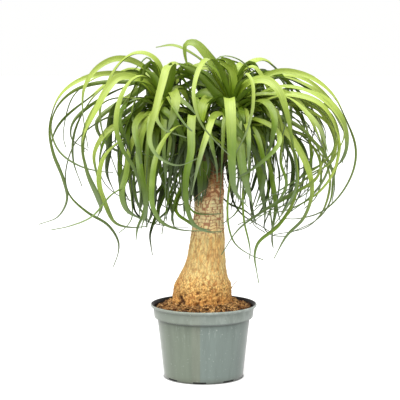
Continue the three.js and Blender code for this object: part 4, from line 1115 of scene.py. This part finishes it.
def along_curve(points, share):
    """Point of the centripetal Catmull-Rom curve through points at a share of its spans."""
    last = len(points) - 1
    span = min(int(share * last), last - 1)
    t = share * last - span
    p1, p2 = points[span], points[span + 1]
    p0 = points[span - 1] if span else 2 * p1 - p2
    p3 = points[span + 2] if span + 2 <= last else 2 * p2 - p1
    d0, d1, d2 = (max((b - a).length, 0.01) ** 0.5 for a, b in ((p0, p1), (p1, p2), (p2, p3)))
    m1 = ((p1 - p0) / d0 - (p2 - p0) / (d0 + d1) + (p2 - p1) / d1) * d1
    m2 = ((p2 - p1) / d1 - (p3 - p1) / (d1 + d2) + (p3 - p2) / d2) * d1
    return (p1 + m1 * t + (3 * (p2 - p1) - 2 * m1 - m2) * t ** 2
            + (2 * (p1 - p2) + m1 + m2) * t ** 3)


def heading_at(points, share):
    low, high = clamp(share - HEADING_STEP), clamp(share + HEADING_STEP)
    return (along_curve(points, high) - along_curve(points, low)).normalized()


def on_plane(vector, normal):
    return vector - normal * vector.dot(normal)


def traced_route(leaf, core):
    """Points of a leaf's course in space, from its course as seen from the front."""
    count = len(leaf.seen) // 2
    route = []
    for i in range(count):
        y = core.y + leaf.reach * (1 - (1 - i / (count - 1)) ** 2)
        share = (EYE_DISTANCE + y) / EYE_DISTANCE
        route.append(Vector((leaf.seen[2 * i] * share, y,
                             EYE_HEIGHT - (EYE_HEIGHT - leaf.seen[2 * i + 1]) * share)))
    return route


def varied(factor, index, step):
    least, spread = factor
    return least + spread * scatter(index, step)


def ruled_route(rule, place, core):
    """Points of the course of the leaf that a rule puts at a place of its row."""
    index = place + rule.first
    turn = math.radians(lerp(rule.start, rule.stop, (place + 0.5) / rule.count))
    reach = rule.reach * varied(REACH_FACTOR, index, PLASTIC)
    rise = rule.rise * varied(RISE_FACTOR, index, SILVER)
    drop = rule.drop * varied(DROP_FACTOR, index, GOLDEN)
    sway, lean = FILL_DRIFT if rule.first else SOLID_DRIFT
    sway *= scatter(index, PLASTIC) - 0.5
    lean *= scatter(index, SILVER) - 0.5
    height = rule.height + ROOT_SPREAD * scatter(index, GOLDEN)
    # Behind, two of five leaves that stand only here hook back inwards at the tip
    hooked = rule.first and index % 5 in (0, 2) and math.sin(turn) > 0.1
    route = []
    for out, up, down in HOOK if hooked else ARCH:
        heading = turn + sway * out * out + lean * down
        route.append(Vector((core.x + reach * out * math.cos(heading),
                             core.y + reach * out * math.sin(heading),
                             height + rise * up - drop * down)))
    return route


def hides_neck(route):
    """Whether a leaf passes before the neck where it is bare."""
    low_x, high_x, low_z, high_z = NECK_WINDOW
    for i in range(NECK_STEPS + 1):
        point = along_curve(route, i / NECK_STEPS)
        share = (EYE_DISTANCE + point.y) / EYE_DISTANCE
        x, z = point.x / share, EYE_HEIGHT - (EYE_HEIGHT - point.z) / share
        if point.y < 0 and low_x < x < high_x and low_z < z < high_z:
            return True
    return False


def width_at(width, share, power):
    opened = min(1, ROOT_SHARE + (1 - ROOT_SHARE) * share / FULL_WIDTH_AT)
    return max(LEAST_WIDTH, width * opened * (1 - share ** power))


def taper_for(route):
    """The power by which a leaf narrows: a short one keeps its width for longer."""
    length = sum((b - a).length for a, b in zip(route, route[1:]))
    share = (length - TAPER_LENGTHS[0]) / (TAPER_LENGTHS[1] - TAPER_LENGTHS[0])
    return lerp(*TAPER_POWERS, clamp(share))


class Ribs:
    """The middle lines of many leaves, with what each point says about the blade round it."""

    def __init__(self):
        self.points, self.edges = [], []
        self.said = {"face": [], "side": [], "breadth": [], "along": [], "tone": []}

    def grow(self, route, width, taper, turns, tone, phase, twist=0.0, shown=1.0):
        """Adds a leaf, whose blade turns from one given turn to the other with a wave between."""
        count = (len(route) - 1) * SAMPLES_PER_SPAN
        heading = along_curve(route, HEADING_AT) - route[0]
        heading.z = 0
        across = Vector((0, 0, 1)).cross(heading.normalized())
        face = before = None
        for i in range(count + 1):
            share = i / count
            here = along_curve(route, share)
            tangent = heading_at(route, share)
            wave = TWIST_WAVE * min(1, WAVE_GROWTH * share)
            turn = lerp(*turns, share) + wave * math.sin(math.tau * (TWIST_TURNS * share + phase))
            turn = clamp(turn, -MOST_TURN, MOST_TURN)
            wanted = tangent.cross(across) * (1 - abs(turn)) + Vector((0, -1, 0)) * turn
            wanted = on_plane(wanted, tangent).normalized()
            wanted = wanted * math.cos(twist * share) + tangent.cross(wanted) * math.sin(twist * share)
            if face is None:
                face = wanted
            else:
                face = on_plane(face, tangent).normalized()
                most = MOST_ROLL * (here - before).length
                roll = math.atan2(face.cross(wanted).dot(tangent), face.dot(wanted))
                roll = clamp(roll, -most, most)
                face = face * math.cos(roll) + tangent.cross(face) * math.sin(roll)
            before = here
            if i:
                self.edges.append((len(self.points) - 1, len(self.points)))
            self.points.append(tuple(here))
            for values, value in zip(self.said.values(), (
                    tuple(face), tuple(face.cross(tangent)), width_at(width, share, taper) * MM,
                    share * shown, tone)):
                values.append(value)

    def mesh(self, name):
        return new_mesh(name, self.points, edges=self.edges, attributes=self.said)


def blade_tree(material):
    """Turns each middle line into a thin closed strip with a folded channel."""
    graph = GeometryGraph("Leaf blades", {
        "Ring spacing": RING_SPACING, "Channel": CHANNEL, "Thickness": 0.0009, "Keel": 0.05})
    ribs = graph.add("GeometryNodeMeshToCurve", {"Mesh": graph.given["Geometry"]})
    ribs = graph.add("GeometryNodeResampleCurve", {
        "Curve": ribs, "Length": graph.given["Ring spacing"]}, mode="LENGTH")
    ribs = graph.store(ribs, "rib", graph.position, "FLOAT_VECTOR")
    ring = graph.add("GeometryNodeCurvePrimitiveCircle", {
        "Resolution": RING_POINTS, "Radius": MM}, mode="RADIUS")
    index = graph.add("GeometryNodeInputIndex")
    half = RING_POINTS / 2
    span = graph.product(graph.math("ABSOLUTE", graph.minus(index, half)), 2 / half)
    ring = graph.store(ring, "across", graph.minus(span, 1.0))
    ring = graph.store(ring, "under", graph.math("GREATER_THAN", index, half + 0.5))
    blade = graph.add("GeometryNodeCurveToMesh", {
        "Curve": ribs, "Profile Curve": ring, "Fill Caps": True})
    across, under, breadth, along = (
        graph.named(name) for name in ("across", "under", "breadth", "along"))
    wide = graph.product(across, breadth, 0.5)
    lift = graph.product(graph.math("POWER", graph.math("ABSOLUTE", across), 1.3), breadth,
                         graph.given["Channel"], graph.ease(along, 1.1, 0.5, 0.35, 1.0))
    thick = graph.total(graph.given["Thickness"], graph.product(breadth, graph.given["Keel"]))
    body = graph.minus(1.0, graph.product(across, across, 0.5))
    thin = graph.ease(breadth, 0.002, 0.005, 1.15, 0.85)
    sink = graph.product(under, thick, body, thin)
    rib, side, face = (graph.named(name, "FLOAT_VECTOR") for name in ("rib", "side", "face"))
    spot = graph.vector("ADD", rib, graph.scaled(side, wide))
    spot = graph.vector("ADD", spot, graph.scaled(face, graph.minus(lift, sink)))
    blade = graph.add("GeometryNodeSetPosition", {"Geometry": blade, "Position": spot})
    for name in ("rib", "side", "face", "breadth"):
        blade = graph.add("GeometryNodeRemoveAttribute", {"Geometry": blade, "Name": name})
    return graph.close(blade, material)


def leaf_tone(leaf, index):
    """How light a leaf is painted: painted light makes broad ones in front and far out the lightest."""
    far_from, far_over, far_light = FAR_END
    thin_under, thin_shade = THIN_BLADE
    far = max(abs(x) for x in leaf.seen[::2])
    tone = CORE_TONE - leaf.reach / REACH_PER_TONE + TONE_SCATTER * (scatter(index, PLASTIC) - 0.5)
    tone += far_light * clamp((far - far_from) / far_over)
    return clamp(tone - (thin_shade if leaf.width < thin_under else 0), DARKEST_TONE, 1.0)


def head_ribs(side):
    """The middle lines of all the leaves on one side's head."""
    ribs, core = Ribs(), CORES[side]
    for index, row in enumerate(LEAVES[side] + NARROW[side]):
        leaf = Leaf(*row)
        route = traced_route(leaf, core)
        tone, shown = leaf_tone(leaf, index), 1.0
        # A leaf that ends high up has only its near part in sight, which is painted darker as shade
        if leaf.seen[-1] > NEAR_PART_HEIGHT:
            tone, shown = tone - NEAR_PART_SHADE, NEAR_PART_SHARE
        ribs.grow(route, leaf.width, leaf.taper or taper_for(route), (leaf.root_turn, leaf.tip_turn),
                  tone, scatter(index, SILVER), shown=shown)
    for row in RULES[side]:
        rule = Rule(*row)
        for place in range(rule.count):
            index = place + rule.first
            route = ruled_route(rule, place, core)
            if not rule.first or not hides_neck(route):
                ribs.grow(route, rule.width * varied(WIDTH_FACTOR, index, SILVER), FILL_TAPER,
                          (0.0, 0.0), rule.tone + TONE_SPREAD * (scatter(index, GOLDEN) - 0.5),
                          scatter(index, PLASTIC), MOST_TWIST * (scatter(index, GOLDEN) - 0.5))
    return ribs


def core_mesh(core):
    """Points and faces of the ribbed heart of a head, from which its leaves come."""
    rings = []
    for radius, share in CORE_PROFILE:
        ring = []
        for i in range(CORE_SIDES):
            turn = 2 * math.pi * i / CORE_SIDES
            rib = 1 + CORE_RIB_DEPTH * math.cos(CORE_RIBS * turn + CORE_TWIST * share)
            out = core.radius * radius * rib
            ring.append((core.x + out * math.cos(turn), core.y + out * math.sin(turn),
                         core.bottom + (core.top - core.bottom) * share))
        rings.append(ring)
    return skinned(rings, (core.x, core.y, core.bottom), (core.x, core.y, core.top))


# Settings

def colour_setting(name, description, colour):
    return FloatVectorProperty(name=name, description=description, subtype="COLOR", size=3,
                               min=0, max=1, default=srgb(*colour))


class PotSettings(bpy.types.PropertyGroup):
    """Colours of the pot."""
    warm_side: colour_setting("Warm side", "Plastic left of the front", (133, 144, 127))
    cool_side: colour_setting("Cool side", "Plastic right of the front", (137, 151, 144))
    stripe: colour_setting("Stripe", "Paler plastic beside the front", (152, 154, 138))
    scuff: colour_setting("Scuffs", "Fine marks on the wall", (196, 206, 198))
    band: colour_setting("Band", "Rubbed plastic of the band", (158, 166, 156))
    fleck: colour_setting("Flecks", "Chalky flecks on the wall", (222, 228, 222))
    dirt: colour_setting("Dirt", "Soil marks along the foot", (92, 84, 66))
    # Painted shadow under the band
    band_shadow: colour_setting("Band shadow", "Dark line under the band", (58, 66, 58))
    slot: colour_setting("Slots", "Shade in the drain slots", (26, 28, 24))
    # Painted shade on the inner wall
    inside: colour_setting("Inside", "Painted shade on the inner wall", (26, 18, 12))


class SoilSettings(bpy.types.PropertyGroup):
    """Sizes and colours of the potting mix."""
    density: FloatProperty(name="Chips", description="Chips on a square metre of soil",
                           default=CHIP_DENSITY, min=1000, max=200000)
    lumpiness: FloatProperty(name="Lumpiness", description="Height of the lumps",
                             default=LUMPINESS, min=0, max=0.01, subtype="DISTANCE", unit="LENGTH")
    seed: IntProperty(name="Seed", description="Where the chips fall", default=CHIP_SEED)
    deep: colour_setting("Deep soil", "Soil between the chips", (74, 46, 24))
    dark_chip: colour_setting("Dark chips", "Darkest chips", (128, 84, 42))
    chip: colour_setting("Chips", "Most chips", (200, 146, 84))
    pale_chip: colour_setting("Pale chips", "Lightest chips", (238, 196, 132))
    fallen: colour_setting("Fallen bark", "Crumbs of bark round the trunk", (216, 172, 108))


class TrunkSettings(bpy.types.PropertyGroup):
    """Sizes and colours of the trunk."""
    relief: FloatProperty(name="Relief", description="Depth of the bark against its usual depth",
                          default=1.0, min=0, max=3)
    plate_width: FloatProperty(name="Plate width", description="Width of the plates, millimetres",
                               default=PLATE_WIDTH, min=2, max=30)
    foot: colour_setting("Foot", "Crumbling bark just above the soil", (226, 174, 100))
    cork: colour_setting("Cork", "Bark of the swollen trunk", (255, 233, 160))
    plates: colour_setting("Plates", "Cracked bark under the neck", (255, 240, 186))
    neck: colour_setting("Neck", "Bark of the neck", (255, 218, 166))
    fibre: colour_setting("Fibre", "Old leaf bases over the neck", (176, 150, 100))
    rust: colour_setting("Rust", "Ruddy patches", (214, 142, 78))
    streak: colour_setting("Streaks", "Darker lengthwise streaks", (242, 184, 102))
    crevice: colour_setting("Crevices", "Cracks between the plates", (172, 104, 50))
    red_crevice: colour_setting("Ruddy crevices", "Cracks high on the trunk", (168, 84, 50))
    branch_shade: colour_setting("Branches", "Shaded branches under the heads", (84, 78, 44))
    # Painted shade in the pits of the bark
    hollow_shade: colour_setting("Hollows", "Pits in the bark", (62, 26, 12))


class LeafSettings(bpy.types.PropertyGroup):
    """Sizes and colours of the leaves and the dry strands."""
    spacing: FloatProperty(name="Ring spacing", description="Distance between a blade's sections",
                           default=RING_SPACING, min=0.002, max=0.02, subtype="DISTANCE",
                           unit="LENGTH")
    channel: FloatProperty(name="Channel", description="Depth of the fold as a share of the width",
                           default=CHANNEL, min=0, max=0.5)
    # The dark, middle and light leaf colours are a ramp of painted light and shade
    lit: colour_setting("Light leaf", "Lightest upper faces", (172, 192, 82))
    middle: colour_setting("Leaf", "Most upper faces", (101, 130, 18))
    deep: colour_setting("Dark leaf", "Leaves deep in the crown", (34, 46, 16))
    root: colour_setting("Leaf base", "Pale base of a blade", (144, 172, 14))
    shaded_base: colour_setting("Shaded base", "Base of a blade deep in the crown", (84, 100, 8))
    underside: colour_setting("Underside", "Lower faces low in the crown", (94, 116, 54))
    high_underside: colour_setting("High underside", "Lower faces high up", (82, 112, 14))
    tip: colour_setting("Tip", "Greyer tips", (122, 138, 102))
    dry: colour_setting("Dry strand", "Dry strands on the trunk", (196, 168, 118))
    dry_dark: colour_setting("Dry strand, dark", "Shaded parts of the strands", (120, 92, 56))


class StageSettings(bpy.types.PropertyGroup):
    """Light of the studio."""
    key: FloatProperty(name="Top light", description="Strength of the soft light from above",
                       default=3.8, min=0, max=10)
    around: FloatProperty(name="Surroundings", description="Light from the pale walls",
                          default=0.56, min=0, max=3)


# Operators

class PALM_OT_pot(bpy.types.Operator):
    """Build the moulded pot with its rolled lip and drain slots"""
    bl_idname = "palm.build_pot"
    bl_label = "Build pot"

    def execute(self, context):
        points, faces = skinned(turned(pot_profile(), POT_SIDES), (0, 0, 0), (0, 0, FLOOR))
        tree = slot_tree(pot_finish(context.scene.palm_pot))
        mesh = worked_out("pot_shell", new_mesh("pot_shell", points, faces), tree)
        placed("pot_shell", mesh, "pot_plastic", "pot", crease=32)
        return {"FINISHED"}


class PALM_OT_soil(bpy.types.Operator):
    """Build the lumpy potting mix and scatter bark chips on it"""
    bl_idname = "palm.build_soil"
    bl_label = "Build soil"

    def execute(self, context):
        settings = context.scene.palm_soil
        points, faces = skinned(turned(soil_profile(), SOIL_SIDES), (0, 0, FLOOR + SOIL_GAP),
                                (0, 0, SOIL_CROWN))
        mesh = worked_out("potting_mix", new_mesh("potting_mix", points, faces),
                          soil_tree(soil_finish(settings)), {
                              "Chips per square metre": settings.density,
                              "Lumpiness": settings.lumpiness, "Seed": settings.seed})
        placed("potting_mix", mesh, "potting_mix", "soil", crease=45)
        return {"FINISHED"}


class PALM_OT_trunk(bpy.types.Operator):
    """Build the swollen trunk, its neck and the three branches under the heads"""
    bl_idname = "palm.build_trunk"
    bl_label = "Build trunk"

    def execute(self, context):
        settings = context.scene.palm_trunk
        points, faces, pits = stem_mesh()
        points, faces = with_limbs(points, faces, BRANCHES, BRANCH_SIDES)
        pits += [0.0] * (len(points) - len(pits))
        mesh = worked_out("trunk_bark", new_mesh("trunk_bark", points, faces,
                                                 attributes={"pit": pits}),
                          bark_tree(bark_finish(settings)),
                          {"Relief": settings.relief, "Plate width": settings.plate_width})
        placed("trunk_bark", mesh, "bark", "trunk", crease=80)
        return {"FINISHED"}


class PALM_OT_heads(bpy.types.Operator):
    """Build the three heads of leaves and the ribbed hearts that they come from"""
    bl_idname = "palm.build_heads"
    bl_label = "Build heads"

    def execute(self, context):
        settings = context.scene.palm_leaves
        finish = leaf_finish(settings)
        tree = blade_tree(finish)
        for side, core in CORES.items():
            name = "leaves_" + side
            mesh = worked_out(name, head_ribs(side).mesh(name), tree, {
                "Ring spacing": settings.spacing, "Channel": settings.channel})
            placed(name, mesh, "leaf", "head_" + side)
            heart = new_mesh("heart", *core_mesh(core))
            heart.materials.append(finish)
            placed("heart_" + side, heart, "leaf")
        return {"FINISHED"}


class PALM_OT_strands(bpy.types.Operator):
    """Build the dry strands that hang about the trunk"""
    bl_idname = "palm.build_strands"
    bl_label = "Build dry strands"

    def execute(self, context):
        limbs = [(width / 2, route) for width, route in STRANDS]
        mesh = new_mesh("dry_strands", *with_limbs([], [], limbs, STRAND_SIDES, STRAND_SPANS,
                                                   STRAND_TAPER))
        mesh.materials.append(strand_finish(context.scene.palm_leaves))
        placed("dry_strands", mesh, "leaf")
        return {"FINISHED"}


class PALM_OT_stage(bpy.types.Operator):
    """Set up the pale floor, the soft light and the camera"""
    bl_idname = "palm.build_stage"
    bl_label = "Build studio"

    def execute(self, context):
        settings = context.scene.palm_stage
        scene = context.scene
        half = GROUND_HALF
        floor = bpy.data.objects.new("floor", new_mesh(
            "floor", [(-half, -half, 0), (half, -half, 0), (half, half, 0), (-half, half, 0)],
            [(0, 1, 2, 3)]))
        floor.data.materials.append(floor_finish())
        scene.collection.objects.link(floor)
        world = bpy.data.worlds.new("Pale studio")
        world.use_nodes = True
        graph = Graph(world.node_tree)
        seen = graph.math("MAXIMUM", *(graph.add("ShaderNodeLightPath", out=ray)
                                       for ray in ("Is Camera Ray", "Is Glossy Ray")))
        sky = world.node_tree.nodes["Background"]
        sky.inputs["Color"].default_value = (1.0, 1.0, 0.995, 1.0)
        graph.feed(sky.inputs["Strength"], graph.ease(seen, 0.0, 1.0, settings.around, 1.0))
        scene.world = world
        light = bpy.data.lights.new("top_light", "SUN")
        light.energy = settings.key
        light.angle = LAMP_SPREAD
        lamp = bpy.data.objects.new("top_light", light)
        lamp.rotation_euler = LAMP_TURN
        scene.collection.objects.link(lamp)
        lens = bpy.data.cameras.new("camera")
        lens.lens = CAMERA_LENS
        lens.sensor_width = CAMERA_SENSOR
        lens.clip_end = CAMERA_SIGHT
        camera = bpy.data.objects.new("camera", lens)
        camera.location = (CAMERA_SIDE * MM, -EYE_DISTANCE * MM, EYE_HEIGHT * MM)
        camera.rotation_euler = (CAMERA_TILT, 0, 0)
        scene.collection.objects.link(camera)
        scene.camera = camera
        scene.view_settings.view_transform = "Standard"
        scene.view_settings.look = "None"
        return {"FINISHED"}


STEPS = (PALM_OT_stage, PALM_OT_pot, PALM_OT_soil, PALM_OT_trunk, PALM_OT_heads, PALM_OT_strands)
GROUPS = {"palm_pot": PotSettings, "palm_soil": SoilSettings, "palm_trunk": TrunkSettings,
          "palm_leaves": LeafSettings, "palm_stage": StageSettings}


class PALM_PT_pieces(bpy.types.Panel):
    """Lists the pieces of the palm and their settings"""
    bl_label = "Ponytail palm"
    bl_idname = "PALM_PT_pieces"
    bl_space_type = "VIEW_3D"
    bl_region_type = "UI"
    bl_category = "Palm"

    def draw(self, context):
        for step in STEPS:
            self.layout.operator(step.bl_idname)
        for name, group in GROUPS.items():
            box = self.layout.box()
            for setting in group.__annotations__:
                box.prop(getattr(context.scene, name), setting)


CLASSES = (*GROUPS.values(), *STEPS, PALM_PT_pieces)


def register():
    for cls in CLASSES:
        bpy.utils.register_class(cls)
    for name, group in GROUPS.items():
        setattr(bpy.types.Scene, name, PointerProperty(type=group))


def unregister():
    for name in GROUPS:
        delattr(bpy.types.Scene, name)
    for cls in reversed(CLASSES):
        bpy.utils.unregister_class(cls)


def main():
    register()
    bpy.ops.palm.build_stage()
    bpy.ops.palm.build_pot()
    bpy.ops.palm.build_soil()
    bpy.ops.palm.build_trunk()
    bpy.ops.palm.build_heads()
    bpy.ops.palm.build_strands()


if __name__ == "__main__":
    main()
